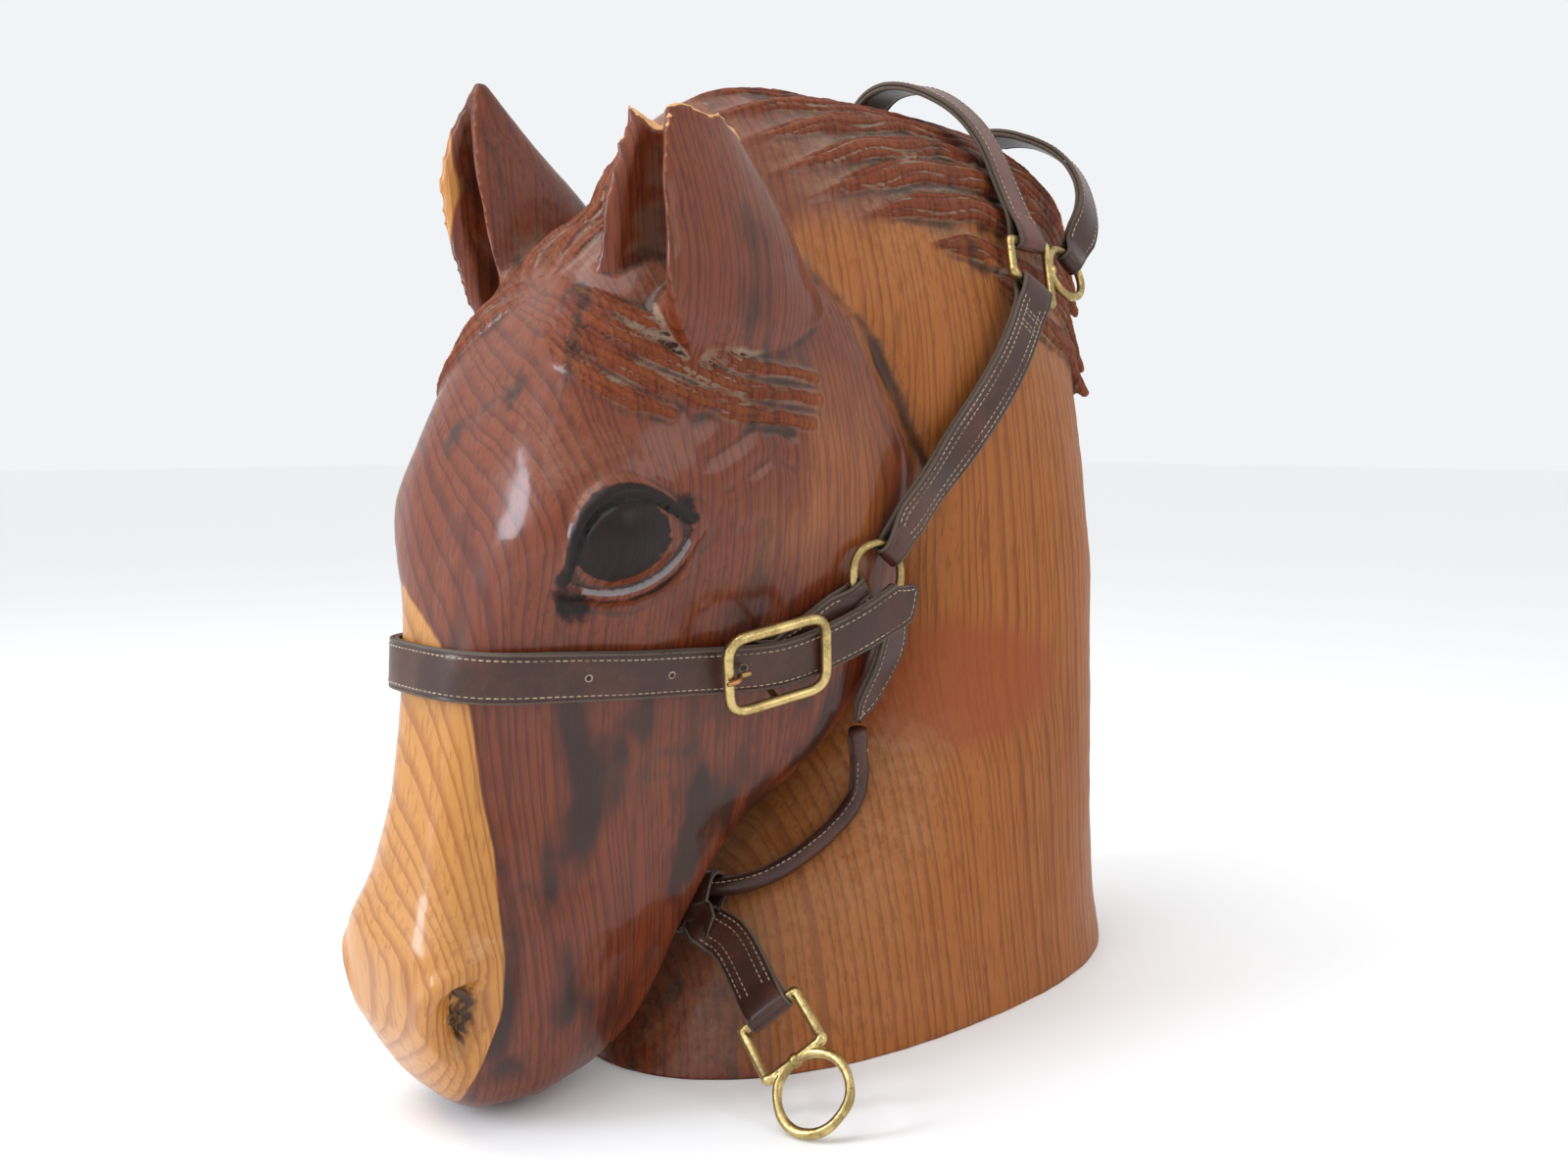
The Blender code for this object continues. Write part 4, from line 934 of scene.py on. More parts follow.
def paintFields(obj, baseSkin, headSkin, neckSkin):
    # what the wood material reads at each point of the carving
    points, normals = meshArrays(obj)
    edges = edgesOf(obj)
    place = points / mm
    x, y, z = place.T
    side = np.where(x < 0, -1, 1)[:, None] * (1, 0, 0) + (0, 1, 1)
    eitherSide = place * side
    soft = smoothed(points, edges, len(points), 14)
    groove = np.einsum("ij,ij->i", soft - points, normals) / mm
    _, _, radius, _, far = hairMeasures(points)
    hair = (far < radius * 1.5 + 0.002) * smoothStep(0.3, 2.0, proudOf(points, baseSkin))
    earHere = (z > 440) * (y < -110) * (np.abs(x) > 40)
    hair = np.where(earHere, 0.25, hair)
    toHead = np.array([headSkin.find_nearest(p)[3] for p in points])
    toNeck = np.array([neckSkin.find_nearest(p)[3] for p in points])
    neck = smoothStep(-0.008, 0.008, toHead - toNeck) * smoothStep(-185, -120, y)
    neck = neck * smoothStep(500, 462, z - 0.14 * y) * (1 - 0.8 * hair)
    turned = smoothStep(-0.001, 0.001, toHead - toNeck)
    radial = np.hypot(x - wood["pith"][0] / mm, y - wood["pith"][1] / mm)
    sap = radial - np.interp(z, *np.array(grainMarks["blaze"]).T) - 400 * (z > 284)
    for centre, reach in grainMarks["spots"]:
        sap = np.maximum(sap, reach - np.linalg.norm(place - centre, axis=1))
    sap = np.maximum(sap, np.where((z > 425) & (y < -150) & (x < 0), -x - 92, -50))
    sap = np.maximum(sap, np.where((z > 340) & (y > 100), y - 181 + 0.10 * (z - 372), -50))
    knot = np.exp(-(patchReach(place, grainMarks["knot"]) ** 1.6)) * (x > 40)
    u, v, w, inside = eyeMeasures(eitherSide)
    here = w > -40
    ball = 1.0 - np.hypot((u + 3) / 24, (v - 4) / 18)
    upper = bell(inside + 3.0, 6.5) * smoothStep(-12, 2, v)
    under = 0.62 * bell(inside + 6.5, 2.4) * smoothStep(0, -8, v)
    strokes = bell(v + 14, 17) * smoothStep(-52, -40, u) * smoothStep(-20, -32, u) * (inside < 2)
    corner = bell(np.hypot(u - 34, v - 6), 13)
    opening = np.maximum(smoothStep(-0.12, 0.1, ball), 0.30) * (inside > 0)
    charAndShade = here * np.maximum.reduce([opening, upper, under, 0.66 * strokes, 0.72 * corner])
    lidEdge = here * bell(inside + 1.6, 1.8) * smoothStep(-5, -10, v) * (np.abs(u) < 30)
    charAndShade = charAndShade * (1 - lidEdge)
    _, _, depth, ring = nostrilMeasures(eitherSide)
    # painted shade: the nostril's hollow is darkened where it is deepest
    charAndShade = np.maximum(charAndShade, 0.42 * (depth > -30) * smoothStep(0.8, 0.4, ring))
    wet = here * smoothStep(0, 0.2, ball) * (inside > 0) * 0.3
    broken = (z > ears["breakLevel"] - 9) * (x > 40) * (y < -160) * smoothStep(0.25, 0.6, normals[:, 2])
    glow = 0.55 * np.exp(-patchReach(place, grainMarks["glow"])) * (x > 40)
    streaks = smoothStep(300, 190, z) * smoothStep(-60, -110, y) * (x > 20) * smoothStep(20, 40, z)
    film = smoothStep(0.1, 0.6, normals[:, 2]) * (0.35 + 0.65 * smoothStep(-110, -40, y)) * (1 - hair)
    fields = {
        "groove": groove, "hair": hair, "neck": neck, "sap": sap, "knot": knot, "charAndShade": charAndShade,
        "lidEdge": lidEdge, "wet": wet, "raw": broken, "streaks": streaks, "film": film, "glow": glow,
        "turned": turned,
    }
    for name, values in fields.items():
        addField(obj, name, values)


def makeCarving():
    headLoft = loftLevels(head["levels"], headSection)
    neckLoft = loftLevels(head["neckLevels"], neckSection)
    headSkin, neckSkin = skinOf(headLoft), skinOf(neckLoft)
    base = joinMasses("base", [headLoft, neckLoft], head["baseGrain"], head["baseSmoothing"])
    baseSkin = skinOf(base)
    hair = makeMane(baseSkin) + makeForelock(baseSkin)
    nearEar = makeEar(1, ears["left"], ears["breakLevel"])
    farEar = makeEar(-1, ears["right"], ears["right"][-1][0])
    carved = joinMasses("carvedHead", [base, nearEar, farEar, *hair], head["grain"], head["smoothing"])
    print("carving blocked out", len(carved.data.polygons))
    carve(carved, baseSkin)
    thin = carved.modifiers.new("thin", "DECIMATE")
    thin.ratio = head["triangles"] / (2 * len(carved.data.polygons))
    applyAll(carved)
    cutUnderside(carved)
    carved.data.shade_smooth()
    paintFields(carved, baseSkin, headSkin, neckSkin)
    print("carving finished", len(carved.data.polygons))
    return finishPiece(carved, "carvedHead", materials["wood"], "horse_head")


carvedHead = makeCarving()


# the halter, in metres, laid on the carving

halter = {
    "width": 0.0254, "straight": 0.014, "narrow": 0.58, "ply": 0.0023, "seam": 0.0003, "gap": 0.0003,
    "ringRadius": 0.0175, "ringWire": 0.0025, "ringPlace": (-86, 273), "ringOutward": (1, -0.1, 0.05),
    "corner": 0.0008, "crease": 0.0019, "stitchInset": 0.0034, "stitchStep": 0.0037, "stitchLength": 0.0027,
    "stitchRadius": 0.00042, "stitchedGap": 0.0014, "crossInset": 0.0042, "edgeRoom": 0.0052,
    "holeRise": 0.00015,
}


def unit(v):
    v = np.array(v, float)
    return v / np.linalg.norm(v)


def nearest(skin, point):
    spot, normal, _, _ = skin.find_nearest(Vector(point))
    spot, normal = np.array(spot), np.array(normal)
    return spot, normal, float((np.asarray(point) - spot) @ normal)


def spaced(points, count):
    run = lengthsAlong(points)
    return between(np.linspace(0, run[-1], count), run, points)


def heightOver(layers, point, outward, reach=0.02):
    height = reach
    for layer in layers:
        spot, _, _, depth = layer.ray_cast(Vector(point + outward * reach), Vector(-outward), 2 * reach)
        if spot:
            height = min(height, depth - reach)
    return height


def foldGap(run, ends):
    # how far each ply lies from the strap's middle, opening round a wire at an end
    flat = (halter["ply"] + halter["seam"]) / 2
    gap = np.full(len(run), flat)
    for (radius, slack), along in zip(ends, (run, run[-1] - run)):
        if radius:
            full = radius + 1.7 * halter["gap"] + halter["ply"] / 2
            gap = np.maximum(gap, flat + (full - flat) * (1 - smoothStep(slack, slack + 5 * full, along)))
    return gap


def layRoute(guides, layers, width, ends, faces, count, rounds=10):
    # a strap's path over what lies under it, and its outward direction
    path = spaced(curveThrough(guides, 12), count)
    run = lengthsAlong(path)
    standoff = foldGap(run, ends) + halter["ply"] / 2 + 2.5 * halter["gap"]
    outward = np.array([nearest(layers[0], p)[1] for p in path])
    for face, away in zip(faces, (run, run[-1] - run)):
        if face is not None:
            share = (1 - smoothStep(0.004, 0.024, away))[:, None]
            outward = (1 - share) * outward + share * np.array(face)
    for _ in range(3):
        outward[1:-1] = (outward[:-2] + 2 * outward[1:-1] + outward[2:]) / 4
    outward = np.array([unit(n) for n in outward])
    for _ in range(rounds):
        path[2:-2] += 0.25 * (path[1:-3] - 2 * path[2:-2] + path[3:-1])
        lack = np.zeros(count)
        for i in range(2 * count - 1):
            low, high = i // 2, (i + 1) // 2
            point, face = (path[low] + path[high]) / 2, unit(outward[low] + outward[high])
            across = unit(np.cross(face, path[min(low + 1, count - 1)] - path[max(low - 1, 0)]))
            for share in np.linspace(-0.5, 0.5, 9):
                need = standoff[low] - heightOver(layers, point + across * share * width, face)
                lack[low], lack[high] = max(lack[low], need), max(lack[high], need)
        beside = np.pad(lack, 1)
        path += outward * np.maximum(lack, 0.5 * np.maximum(beside[:-2], beside[2:]))[:, None]
        for i, (radius, _) in zip((0, -1), ends):
            if radius:
                path[i] = guides[i]
    return path, squared(path, outward)


def squared(path, outward):
    along = np.gradient(path, axis=0)
    return np.array([unit(n - (n @ unit(t)) * unit(t)) for n, t in zip(outward, along)])


stitchSpots = []    # middle, way and outward direction of every stitch


def addStitches(path, outward):
    # stitches at even steps along a line on the leather
    run, step = lengthsAlong(path), halter["stitchStep"]
    where = np.arange(step * 0.6, run[-1] - 0.4 * step, step)
    ways = between(where + 0.0005, run, path) - between(where, run, path)
    for middle, way, out in zip(between(where, run, path), ways, between(where, run, outward)):
        if np.linalg.norm(way) > 1e-6:
            stitchSpots.append((middle, unit(way), unit(out)))


def strapProfile():
    # a strap's cross-section, from one edge over the face and back under the strap. Each row has the share of
    # the half width, the offset from there, the share of the half thickness and the offset from there, then
    # the values of edge, side, seam and face that the leather reads
    r = halter["corner"]

    def corner(side, up):
        turns = np.linspace(0, math.pi / 2, 4)
        rows = [(r * (1 - math.cos(a)), 1 - math.sin(a)) for a in turns]
        return [(side, -side * inward, up, -up * r * drop, 1, drop, 0, max(up, 0)) for inward, drop in rows]

    def creased(side):
        # beyond the crease, rise, edge, seam
        rows = [
            (-0.0005, 0.0, 0.55, 0), (0.0, -0.00028, 0.4, 0.9), (0.0005, 0.0, 0.35, 0), (0.0030, 0.0001, 0.1, 0),
        ]
        return [
            (side, -side * (halter["crease"] + beyond), 1, rise, edge, 0, seam, 1)
            for beyond, rise, edge, seam in rows
        ]

    right, left = ([*corner(side, 1), *creased(side)] for side in (1, -1))
    top = [*right, (0, 0, 1, 0.00015, 0, 0, 0, 1), *left[::-1]]
    bottom = [*corner(-1, -1), (0, 0, -1, 0, 0, 0, 0, 0), *corner(1, -1)[::-1]]
    return np.array(top + bottom, float)


def sweepStrap(name, path, outward, widths, material, node):
    # one thickness of leather swept round a closed path
    profile = strapProfile()
    rows, around = len(path), len(profile)
    along = np.roll(path, -1, axis=0) - np.roll(path, 1, axis=0)
    across = np.array([unit(np.cross(n, t)) for n, t in zip(outward, along)])
    half = (np.asarray(widths) / 2)[:, None, None]
    # a strap too narrow for its rounded and creased edges gets them in proportion
    squeeze = np.minimum(1, half / halter["edgeRoom"])
    a = half * profile[None, :, 0:1] + squeeze * profile[None, :, 1:2]
    h = halter["ply"] / 2 * profile[None, :, 2:3] + profile[None, :, 3:4]
    points = path[:, None, :] + across[:, None, :] * a + outward[:, None, :] * h
    obj = meshObject(name, points.reshape(-1, 3), bandFaces(rows, around, True))
    for column, field in ((4, "edge"), (5, "side"), (6, "seam"), (7, "face")):
        addField(obj, field, np.tile(profile[:, column], rows))
    obj.data.shade_smooth()
    return finishPiece(obj, name, material, node)


def makeBelt(name, route, outward, widths, ends, material, node, rows=(1,), crossRows=()):
    # a strap of two plies, folded round the wires at its ends, with rows of stitches
    fine = 4
    run = lengthsAlong(route)
    widths = np.broadcast_to(widths, len(route))
    path = curveThrough(route, fine)
    where = np.interp(np.arange(len(path)) / fine, np.arange(len(route)), run)
    out = squared(path, np.array([unit(n) for n in between(where, run, outward)]))
    sizes = np.interp(where, run, widths)
    gap = foldGap(lengthsAlong(path), ends)
    along = np.gradient(path, axis=0)
    points, normals, wide = [], [], []
    for end, order in ((-1, range(len(path))), (0, range(len(path) - 1, -1, -1))):
        side = 1 if end else -1
        for i in order:
            points.append(path[i] + side * out[i] * gap[i])
            normals.append(side * out[i])
            wide.append(sizes[i])
        forward = unit(along[end]) * side
        steps = 12 if ends[end][0] else 4
        for k in range(1, steps):
            a = math.pi * k / steps
            around = side * out[end] * math.cos(a) + forward * math.sin(a)
            points.append(path[end] + around * gap[end] / math.cos(math.pi / 2 / steps))
            normals.append(around)
            wide.append(sizes[end])
    obj = sweepStrap(name, np.array(points), np.array(normals), wide, material, node)
    acrossWay = np.array([unit(np.cross(n, t)) for n, t in zip(out, along)])
    # stitches only where the plies lie together
    flat = gap < (halter["ply"] + halter["seam"]) / 2 + halter["stitchedGap"]
    top = path + out * (gap + halter["ply"] / 2)[:, None]
    for row in rows:
        inset = halter["stitchInset"] * row
        for side in (1, -1):
            reach = np.maximum(sizes / 2 - inset, 0.0004)
            line = top + acrossWay * (side * reach)[:, None]
            addStitches(line[flat], out[flat])
    total = lengthsAlong(path)
    for distance in crossRows:
        i = int(np.argmin(np.abs(total - (distance if distance > 0 else total[-1] + distance))))
        reach = np.linspace(-1, 1, 9)[:, None] * (sizes[i] / 2 - halter["crossInset"])
        addStitches(top[i] + acrossWay[i] * reach, np.tile(out[i], (9, 1)))
    return obj, path, out, gap


def turnTo(normal):
    return Vector((0, 0, 1)).rotation_difference(Vector(normal)).to_matrix().to_4x4()


def torusAt(radius, wire, around, within):
    bpy.ops.mesh.primitive_torus_add(
        major_segments=around, minor_segments=within, major_radius=radius, minor_radius=wire
    )
    bpy.context.object.select_set(False)
    return bpy.context.object


def makeRing(name, centre, normal, radius, wire, node=None):
    # a wire ring, slightly uneven by hand
    obj = torusAt(radius, wire, 64, 16)
    obj.data.transform(turnTo(normal))
    obj.data.transform(Matrix.Translation(Vector(centre)))
    points, _ = meshArrays(obj)
    uneven = 0.010 * np.sin(points[:, 1:2] * 500) + 0.012 * np.cos(points[:, 2:3] * 310)
    points += (points - centre) * uneven
    obj.data.vertices.foreach_set("co", points.ravel())
    obj.data.shade_smooth()
    return finishPiece(obj, name, materials["brass"], node) if node else obj


def uniteWith(obj, other):
    union = obj.modifiers.new("union", "BOOLEAN")
    union.operation = "UNION"
    union.object = other
    applyAll(obj)
    bpy.data.objects.remove(other)
    obj.data.shade_smooth()


def rounded(corners, radius, steps=9):
    corners = np.array(corners, float)
    points = []
    for before, corner, after in zip(np.roll(corners, 1, axis=0), corners, np.roll(corners, -1, axis=0)):
        start, end = corner + radius * unit(before - corner), corner + radius * unit(after - corner)
        for t in np.linspace(0, 1, steps):
            points.append((1 - t) ** 2 * start + 2 * t * (1 - t) * corner + t * t * end)
    return np.array(points)


def inPlane(flat, centre, along, outward):
    return np.array(centre) + flat[:, :1] * along + flat[:, 1:] * np.cross(outward, along)


def standOff(skin, centre, outward, radius, height):
    along = unit(np.cross(outward, (0, 0, 1)))
    across = np.cross(outward, along)
    for _ in range(20):
        lack = height - nearest(skin, centre)[2]
        for a in np.linspace(0, 2 * math.pi, 12, endpoint=False):
            rim = centre + radius * (along * math.cos(a) + across * math.sin(a))
            lack = max(lack, height - nearest(skin, rim)[2])
        if lack < 1e-5:
            break
        centre = centre + outward * lack
    return centre


fittings = {
    "wire": 0.0026, "half": 0.0165, "wide": 0.0180, "corner": 0.0030, "splay": math.radians(15),
    # how much thicker the wire is at a corner, and how far that reaches
    "knob": 0.28, "knobReach": 0.0028,
    "upperRing": 0.0160, "upperPlace": (56, 450), "upperOutward": (0.93, 0.05, 0.36),
    "upperWay": (-0.36, 0.28, 0.89), "upperRingWay": (-0.03, 0.99, -0.06),
    "lowerRing": 0.0205, "lowerPlace": (145, -179), "lowerOutward": (0.17, -0.765, 0.62),
    "lowerWay": (-0.80, 0.10, 0.55),
}


def makeFitting(name, place, outward, way, splay, ringWay, ringRadius, node):
    # a cast loop with a bar for a strap at each end, thicker at its corners, and a ring grown onto it
    across = np.cross(outward, way)
    turn, wide, high = fittings["wide"] * math.tan(splay), fittings["wide"], fittings["half"]
    corners = [(high - turn, wide), (turn - high, wide), (-turn - high, -wide), (high + turn, -wide)]
    flat = rounded(corners, fittings["corner"])
    toCorner = np.min([np.linalg.norm(flat - np.array(c), axis=1) for c in corners], axis=0)
    radii = fittings["wire"] * (1 + fittings["knob"] * bell(toCorner, fittings["knobReach"]))
    loop = rod(name, inPlane(flat, place, way, outward), radii, True, 6)
    ringWay = unit(ringWay - (ringWay @ outward) * outward)
    arm = abs(ringWay @ way) * high + abs(ringWay @ across) * wide
    eyePlace = place + ringWay * (arm + ringRadius)
    uniteWith(loop, makeRing("ring", eyePlace, outward, ringRadius, fittings["wire"]))
    bpy.ops.mesh.primitive_uv_sphere_add(segments=24, ring_count=14, radius=fittings["wire"] * 1.5)
    knob = bpy.context.object
    knob.select_set(False)
    knob.data.transform(Matrix.Translation(Vector(place + ringWay * arm)))
    uniteWith(loop, knob)
    finishPiece(loop, name, materials["brass"], node)
    upperWay = way * math.cos(splay) + across * math.sin(splay)
    lowerWay = across * math.sin(splay) - way * math.cos(splay)
    return {
        "outward": outward, "eye": eyePlace, "upper": place + high * way, "upperWay": upperWay,
        "lower": place - high * way, "lowerWay": lowerWay,
    }


def atSide(skin, side, y, z):
    spot, normal, _, _ = skin.ray_cast(Vector((side * 0.4, y * mm, z * mm)), Vector((-side, 0, 0)))
    return np.array(spot), np.array(normal)


def ringSlack(radius):
    half = halter["narrow"] * halter["width"] / 2
    return radius - math.sqrt(radius**2 - half**2) + halter["gap"]


def onRing(centre, normal, radius, towards):
    away = towards - centre
    way = unit(away - away @ normal * normal)
    return centre + (radius - ringSlack(radius)) * way, way


def mirrored(half):
    # the guides of one side, and in turn those of the other
    return [*half, *(half[-2::-1] * (-1, 1, 1))]


def lead(place, way):
    return [place + halter["straight"] * share * way for share in (1, 0.5, 0)]


def narrowed(away, width=halter["width"]):
    return width * (halter["narrow"] + (1 - halter["narrow"]) * smoothStep(0.004, 0.022, np.asarray(away)))


throatTab = {
    "end": (76, -76, 187), "way": (0, 0.5, -0.86), "face": (0.95, -0.2, -0.2), "width": 0.0240,
    # shares of the length and of the width, from the ring to the tip
    "leaf": [(0, 0.6), (0.12, 0.68), (0.45, 1), (0.75, 0.8), (0.9, 0.48), (1, 0.16)],
}


def makeSide(skin, side, word):
    mirror = np.array([side, 1, 1])
    out = unit(halter["ringOutward"] * mirror)
    spot, _ = atSide(skin, side, *halter["ringPlace"])
    radius, wire = halter["ringRadius"], halter["ringWire"]
    cheek = standOff(skin, spot, out, radius, halter["ply"] + 3 * halter["gap"] + wire)
    makeRing(word + "CheekRing", cheek, out, radius, wire, word + "_cheek_ring")

    up = unit(fittings["upperOutward"] * mirror)
    way = unit(fittings["upperWay"] * mirror)
    way = unit(way - way @ up * up)
    spot, _ = atSide(skin, side, *fittings["upperPlace"])
    reach = fittings["half"] + fittings["upperRing"]
    place = standOff(skin, spot, up, reach, halter["ply"] + 3 * halter["gap"] + fittings["wire"])
    upper = makeFitting(
        word + "UpperFitting", place, up, way, side * fittings["splay"], fittings["upperRingWay"] * mirror,
        fittings["upperRing"], word + "_upper_fitting",
    )
    slack = ringSlack(radius)
    ends = ((wire, slack), (fittings["wire"], 0))
    start, way = onRing(cheek, out, radius, upper["lower"])
    guides = [*reversed(lead(start, way)), *lead(upper["lower"], upper["lowerWay"])]
    route, normals = layRoute(guides, [skin], halter["width"], ends, (out, up), 18)
    makeBelt(
        word + "CheekStrap", route, normals, narrowed(lengthsAlong(route)), ends, materials["strap"],
        word + "_cheek_strap", (1, 2.1), (-0.020, -0.0245, -0.029, -0.0335),
    )
    lowEnd = throatTab["end"] * mirror * mm
    spot, face, _ = nearest(skin, lowEnd)
    lowEnd = spot + face * (halter["ply"] + halter["seam"] / 2 + 6 * halter["gap"])
    start, way = onRing(cheek, out, radius, cheek + throatTab["way"] * mirror)
    ends = ((wire, slack), (0, 0))
    faces = out, unit(throatTab["face"] * mirror)
    guides = [*reversed(lead(start, way)), lowEnd]
    route, normals = layRoute(guides, [skin], throatTab["width"], ends, faces, 11)
    share = lengthsAlong(route) / lengthsAlong(route)[-1]
    leaf = throatTab["width"] * np.interp(share, *np.array(throatTab["leaf"]).T)
    tab, *_ = makeBelt(
        word + "ThroatTab", route, normals, leaf, ends, materials["strap"], word + "_throat_tab"
    )
    return {"cheek": cheek, "out": out, "upper": upper, "tabEnd": route[-1], "tab": tab}


crown = {
    "guides": [(70, 62, 500), (54, 52, 540), (30, 40, 563), (0, 32, 571)],
    "rearGuides": [(84, 116, 472), (74, 138, 506), (46, 146, 538), (0, 134, 554)],
}


def makeCrown(skin, left, right):
    half = np.array(crown["guides"]) * mm
    fits = left["upper"], right["upper"]
    first, last = (lead(fit["upper"], fit["upperWay"]) for fit in fits)
    guides = [*reversed(first), *mirrored(half), *last]
    faces = [fit["outward"] for fit in fits]
    ends = ((fittings["wire"], 0), (fittings["wire"], 0))
    route, normals = layRoute(guides, [skin], halter["width"], ends, faces, 27, 2)
    makeBelt(
        "crownStrap", route, normals, halter["width"], ends, materials["crown"], "crown_strap", (1,),
        (0.018, -0.018),
    )
    half = np.array(crown["rearGuides"]) * mm
    radius = fittings["upperRing"]
    first, last = (
        lead(*onRing(fit["eye"], fit["outward"], radius, towards))
        for fit, towards in zip(fits, (half[0], half[0] * (-1, 1, 1)))
    )
    slack = ringSlack(radius)
    ends = ((fittings["wire"], slack), (fittings["wire"], slack))
    guides = [*reversed(first), *mirrored(half), *last]
    route, normals = layRoute(guides, [skin], halter["width"], ends, faces, 25, 2)
    run = lengthsAlong(route)
    widths = narrowed(np.minimum(run, run[-1] - run))
    makeBelt("rearCrownStrap", route, normals, widths, ends, materials["rear"], "rear_crown_strap")


throat = {
    "roll": 0.0055, "bend": 0.0016, "hangingX": 26, "hangingGuides": [(57, -158, 70)],
    "guides": [(71, -74, 138), (64, -102, 114), (50, -132, 98), (24, -148, 91), (0, -152, 89)],
}


def makeThroat(skin, left, right):
    half = np.array(throat["guides"]) * mm
    roll = throat["roll"]
    below = np.array([0, 0, roll + 3 * halter["gap"]])
    guides = [left["tabEnd"] - below, *mirrored(half), right["tabEnd"] - below]
    route = spaced(curveThrough(guides, 12), 26)
    for _ in range(6):
        for point in route:
            _, face, gap = nearest(skin, point)
            point += face * max(0, roll + 2 * halter["gap"] - gap)
    path = curveThrough(route, 4)
    swell = roll * (1 + 0.02 * np.sin(np.arange(len(path)) * 0.9))
    rolled = rod("rolledThroatStrap", path, swell, roundness=6)
    points, _ = meshArrays(rolled)
    for field, value in (("edge", 0.25), ("side", 0.0), ("seam", 0.0), ("face", 1.0)):
        addField(rolled, field, np.full(len(points), value))
    finishPiece(rolled, "rolledThroatStrap", materials["strap"], "rolled_throat_strap")
    outward = squared(path, np.array([nearest(skin, p)[1] for p in path]))
    addStitches(path[3:-3] + outward[3:-3] * roll, outward[3:-3])
    return route


def makeHangingStrap(rolledRoute):
    # the lower fitting, resting on the floor, and the strap down to it
    out, way = unit(fittings["lowerOutward"]), unit(fittings["lowerWay"])
    way = unit(way - way @ out * out)
    radius = fittings["lowerRing"]
    rest = radius * math.hypot(out[0], out[1]) + fittings["wire"] + halter["gap"]
    eyePlace = np.array([fittings["lowerPlace"][0] * mm, fittings["lowerPlace"][1] * mm, rest])
    place = eyePlace + way * (fittings["half"] + radius)
    lower = makeFitting("lowerFitting", place, out, way, 0, -way, radius, "lower_fitting")
    i = int(np.argmin(np.abs(rolledRoute[:, 0] - throat["hangingX"] * mm)))
    top, bend = rolledRoute[i], np.array(throat["hangingGuides"]) * mm
    rollWay, barWay = unit(rolledRoute[i - 1] - rolledRoute[i + 1]), np.cross(out, way)
    down = unit(bend[0] - top - (bend[0] - top) @ rollWay * rollWay)
    guides = [*reversed(lead(top, down)), *bend, *lead(lower["upper"], way)]
    path = spaced(curveThrough(guides, 12), 14)
    share = np.linspace(0, 1, len(path))[:, None]
    across = (1 - share) * rollWay + share * barWay
    normals = np.array([unit(np.cross(a, t)) for a, t in zip(across, np.gradient(path, axis=0))])
    ends = ((throat["roll"] + throat["bend"], 0), (fittings["wire"], 0))
    makeBelt(
        "hangingStrap", path, normals, halter["width"], ends, materials["strap"], "hanging_strap", (1, 2.2)
    )


def makeHole(name, spot, outward, radius):
    # a punched hole: a dark disc sunk into the strap as painted shade, with a pale rubbed rim
    turn = turnTo(outward)
    rim = torusAt(radius, 0.00038, 24, 8)
    rim.data.transform(Matrix.Translation(Vector(spot)) @ turn)
    finishPiece(rim, name + "Rim", materials["thread"], None)
    bpy.ops.mesh.primitive_cylinder_add(vertices=24, radius=radius, depth=0.0012)
    shadeDisc = bpy.context.object
    shadeDisc.select_set(False)
    shadeDisc.data.transform(Matrix.Translation(Vector(spot) - 0.00045 * Vector(outward)) @ turn)
    finishPiece(shadeDisc, name + "ShadeDisc", materials["dark"], None)


noseband = {
    "guides": [
        (96, -68, 264), (94, -96, 248), (86, -122, 236), (80, -150, 229), (74, -190, 228), (70, -218, 230),
        (64, -256, 232), (50, -292, 233), (16, -312, 233),
    ],
    "farEnd": (-92, -118, 252), "roundEnd": 0.014, "holes": [-256, -212], "holeRadius": 0.0017,
}
buckle = {
    "place": (-154, 235), "way": (0, -0.97, -0.22), "length": 0.060, "width": 0.042, "corner": 0.0115,
    "wire": 0.0030, "bar": 0.0018, "tongue": 0.0016, "tab": 0.0190, "holeRadius": 0.0022,
}


def makeBuckleTab(skin, left):
    # the folded tab between the cheek ring and the buckle's bar
    spot, face = atSide(skin, 1, *buckle["place"])
    way = unit(buckle["way"] - (buckle["way"] @ face) * face)
    bar = spot + face * (halter["ply"] + 3 * halter["gap"] + buckle["bar"])
    radius = halter["ringRadius"]
    start, outWay = onRing(left["cheek"], left["out"], radius, bar)
    ends = ((halter["ringWire"], ringSlack(radius)), (buckle["bar"], 0))
    guides = [*reversed(lead(start, outWay)), *lead(bar, -way)]
    route, normals = layRoute(guides, [skin], buckle["tab"], ends, (left["out"], face), 12)
    widths = narrowed(lengthsAlong(route), buckle["tab"])
    tab, *_ = makeBelt("buckleTab", route, normals, widths, ends, materials["strap"], "buckle_tab")
    return tab, bar, way, face


def makeNoseband(layers, left, right):
    near, farEnd = np.array(noseband["guides"]) * mm, np.array(noseband["farEnd"]) * mm
    radius = halter["ringRadius"]
    last = lead(*onRing(right["cheek"], right["out"], radius, farEnd))
    ends = ((0, 0), (halter["ringWire"], ringSlack(radius)))
    # on the far side the strap mirrors the front of the near side and ends at the ring
    guides = [*near, *(near[:3:-1] * (-1, 1, 1)), farEnd, *last]
    route, normals = layRoute(guides, layers, halter["width"], ends, (left["out"], right["out"]), 50)
    run = lengthsAlong(route)
    fromEnd = np.clip(run / noseband["roundEnd"], 0.03, 1)
    roundEnd = halter["width"] * np.sqrt(1 - (1 - fromEnd) ** 2)
    widths = np.minimum(roundEnd, narrowed(run[-1] - run))
    strap, path, out, gap = makeBelt(
        "nosebandStrap", route, normals, widths, ends, materials["strap"], "noseband"
    )
    for k, y in enumerate(noseband["holes"]):
        i = int(np.argmin(np.abs(path[:, 1] - y * mm) + (path[:, 0] < 0)))
        spot = path[i] + out[i] * (gap[i] + halter["ply"] / 2 + halter["holeRise"])
        makeHole(f"hole{k}", spot, out[i], noseband["holeRadius"])
    return strap


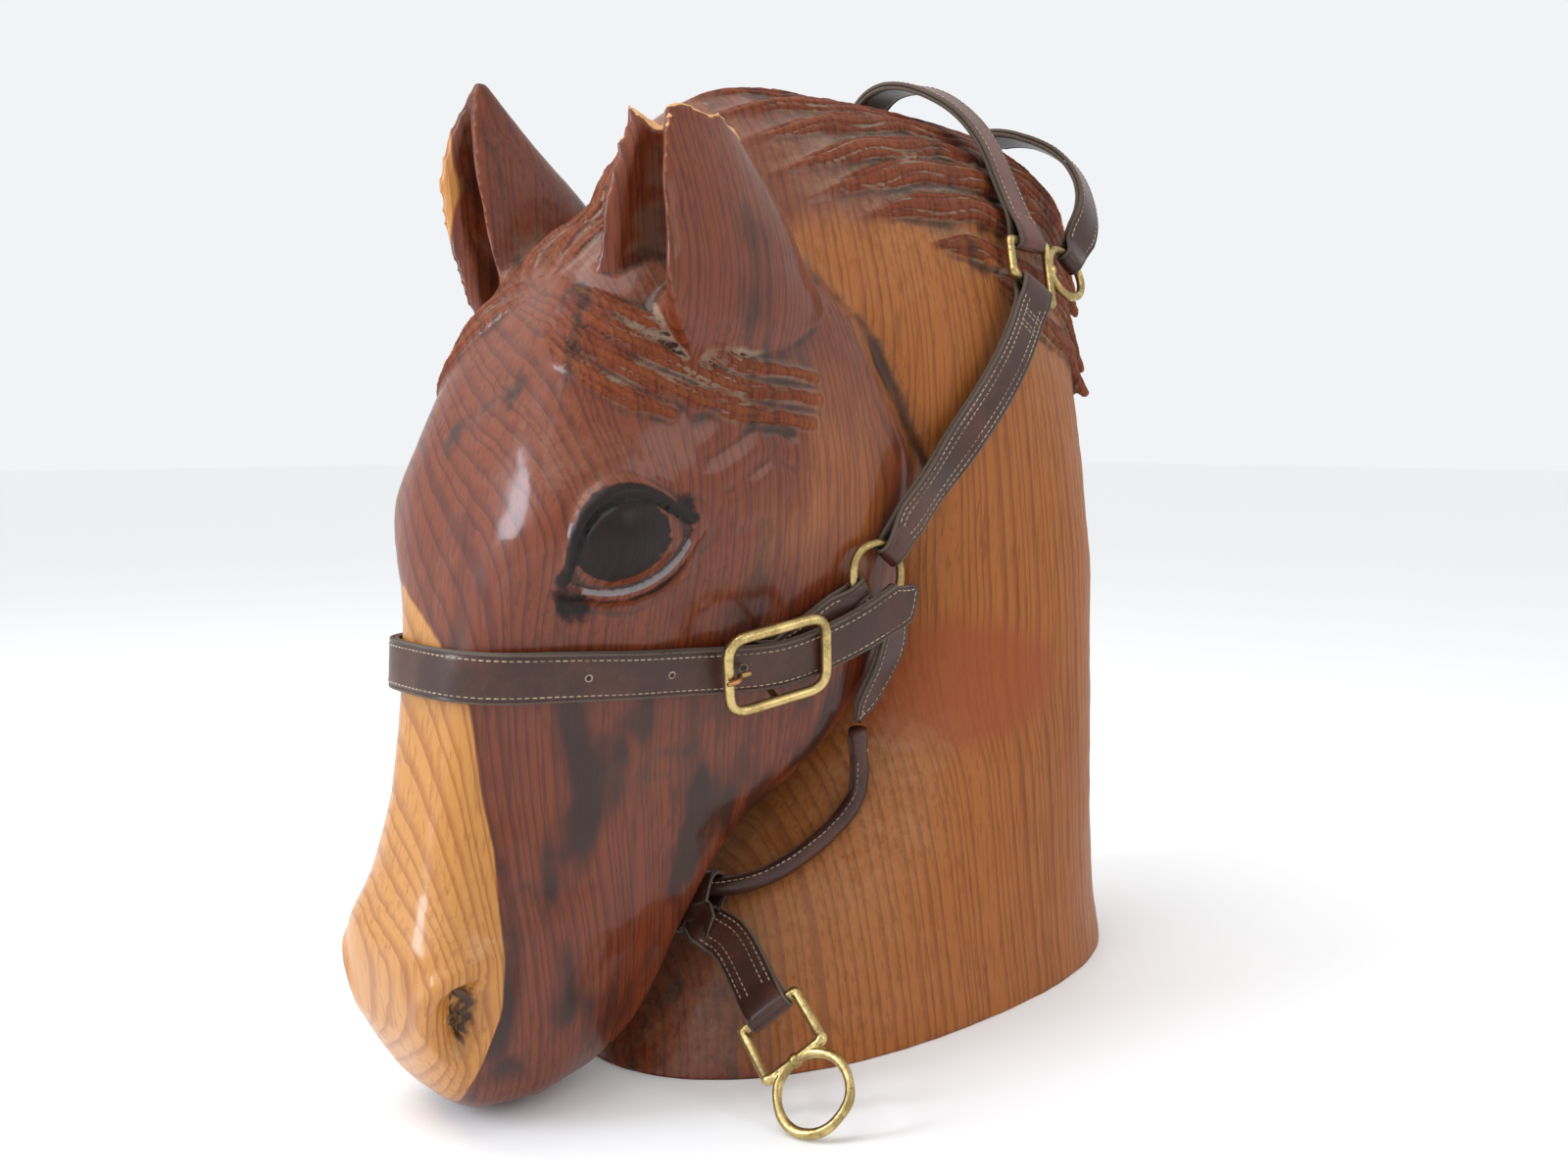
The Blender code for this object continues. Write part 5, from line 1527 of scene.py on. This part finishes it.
def makeBuckle(layers, bar, way, face):
    # the frame lies on the straps, its bar bends down under them, and the tongue rests on the frame
    across = np.cross(face, way)
    halfLength, halfWidth, wire = buckle["length"] / 2, buckle["width"] / 2, buckle["wire"]
    corners = [(x * halfLength, y * halfWidth) for x, y in ((1, 1), (-1, 1), (-1, -1), (1, -1))]
    outline = rounded(corners, buckle["corner"])
    centre = bar
    for _ in range(12):
        rim = inPlane(outline, centre, way, face)
        lack = max(wire + 2 * halter["gap"] - heightOver(layers, p, face) for p in rim)
        centre = centre + face * max(0, lack)
    frameRod = rod("buckleFrame", rim, wire, True, 6)
    drop = (bar - centre) @ face
    bend = [(halfWidth, 0), (halfWidth - 0.0015, 0.45 * drop), (halter["width"] / 2 + 0.0035, drop)]
    bend += [(-x, z) for x, z in reversed(bend)]
    uniteWith(frameRod, rod("bar", [centre + across * x + face * z for x, z in bend], buckle["bar"]))
    finishPiece(frameRod, "buckleFrame", materials["brass"], "buckle")

    over = wire + buckle["tongue"] + 2 * halter["gap"]
    bend = [
        (-0.013, -0.2 * buckle["tongue"]), (-0.010, -0.0002), (-0.007, 0), (-0.0035, 0.8 * over),
        (0, 0.97 * over), (0.0035, over),
    ]
    points = curveThrough([centre + way * (halfLength + x) + face * z for x, z in bend], 4)
    thin = buckle["tongue"] * np.interp(np.linspace(0, 1, len(points)), (0, 0.7, 1), (1, 1, 0.72))
    tongue = rod("buckleTongue", points, thin, roundness=5)
    finishPiece(tongue, "buckleTongue", materials["copper"], "buckle_tongue")
    spot, normal, _, _ = layers[-1].ray_cast(Vector(points[0] + face * 0.02), Vector(-face))
    spot, normal = np.array(spot), np.array(normal)
    makeHole("tongueHole", spot + halter["holeRise"] * normal, normal, buckle["holeRadius"])


def makeStitching():
    # every stitch of the halter, one small rounded bar each
    rings, around = 5, 6
    local = []
    for a in math.pi * (np.arange(rings) + 0.5) / rings:
        girth = halter["stitchRadius"] * math.sin(a) ** 0.6
        for b in 2 * math.pi * np.arange(around) / around:
            local.append((-math.cos(a) * halter["stitchLength"] / 2, girth * math.cos(b), girth * math.sin(b)))
    local = np.array(local)
    faces = [*endFaces(rings, around), *bandFaces(rings, around)]
    points, allFaces = [], []
    for n, (middle, way, outward) in enumerate(stitchSpots):
        across = np.cross(outward, way)
        raised = (local[:, 2:] + 0.0001) * outward
        points.append(middle + local[:, :1] * way + local[:, 1:2] * across + raised)
        allFaces += [tuple(v + n * len(local) for v in face) for face in faces]
    stitches = meshObject("stitching", np.concatenate(points), allFaces)
    stitches.data.shade_smooth()
    finishPiece(stitches, "stitching", materials["thread"], None)


def makeHalter():
    skin = skinOf(carvedHead)
    left, right = makeSide(skin, 1, "left"), makeSide(skin, -1, "right")
    print("rings, fittings and cheek straps laid")
    makeCrown(skin, left, right)
    makeHangingStrap(makeThroat(skin, left, right))
    tab, bar, way, face = makeBuckleTab(skin, left)
    layers = [skin, skinOf(tab), skinOf(bpy.data.objects["leftCheekRing"]), skinOf(left["tab"])]
    layers.append(skinOf(makeNoseband(layers, left, right)))
    makeBuckle(layers, bar, way, face)
    print("straps laid,", len(stitchSpots), "stitches")
    makeStitching()


makeHalter()
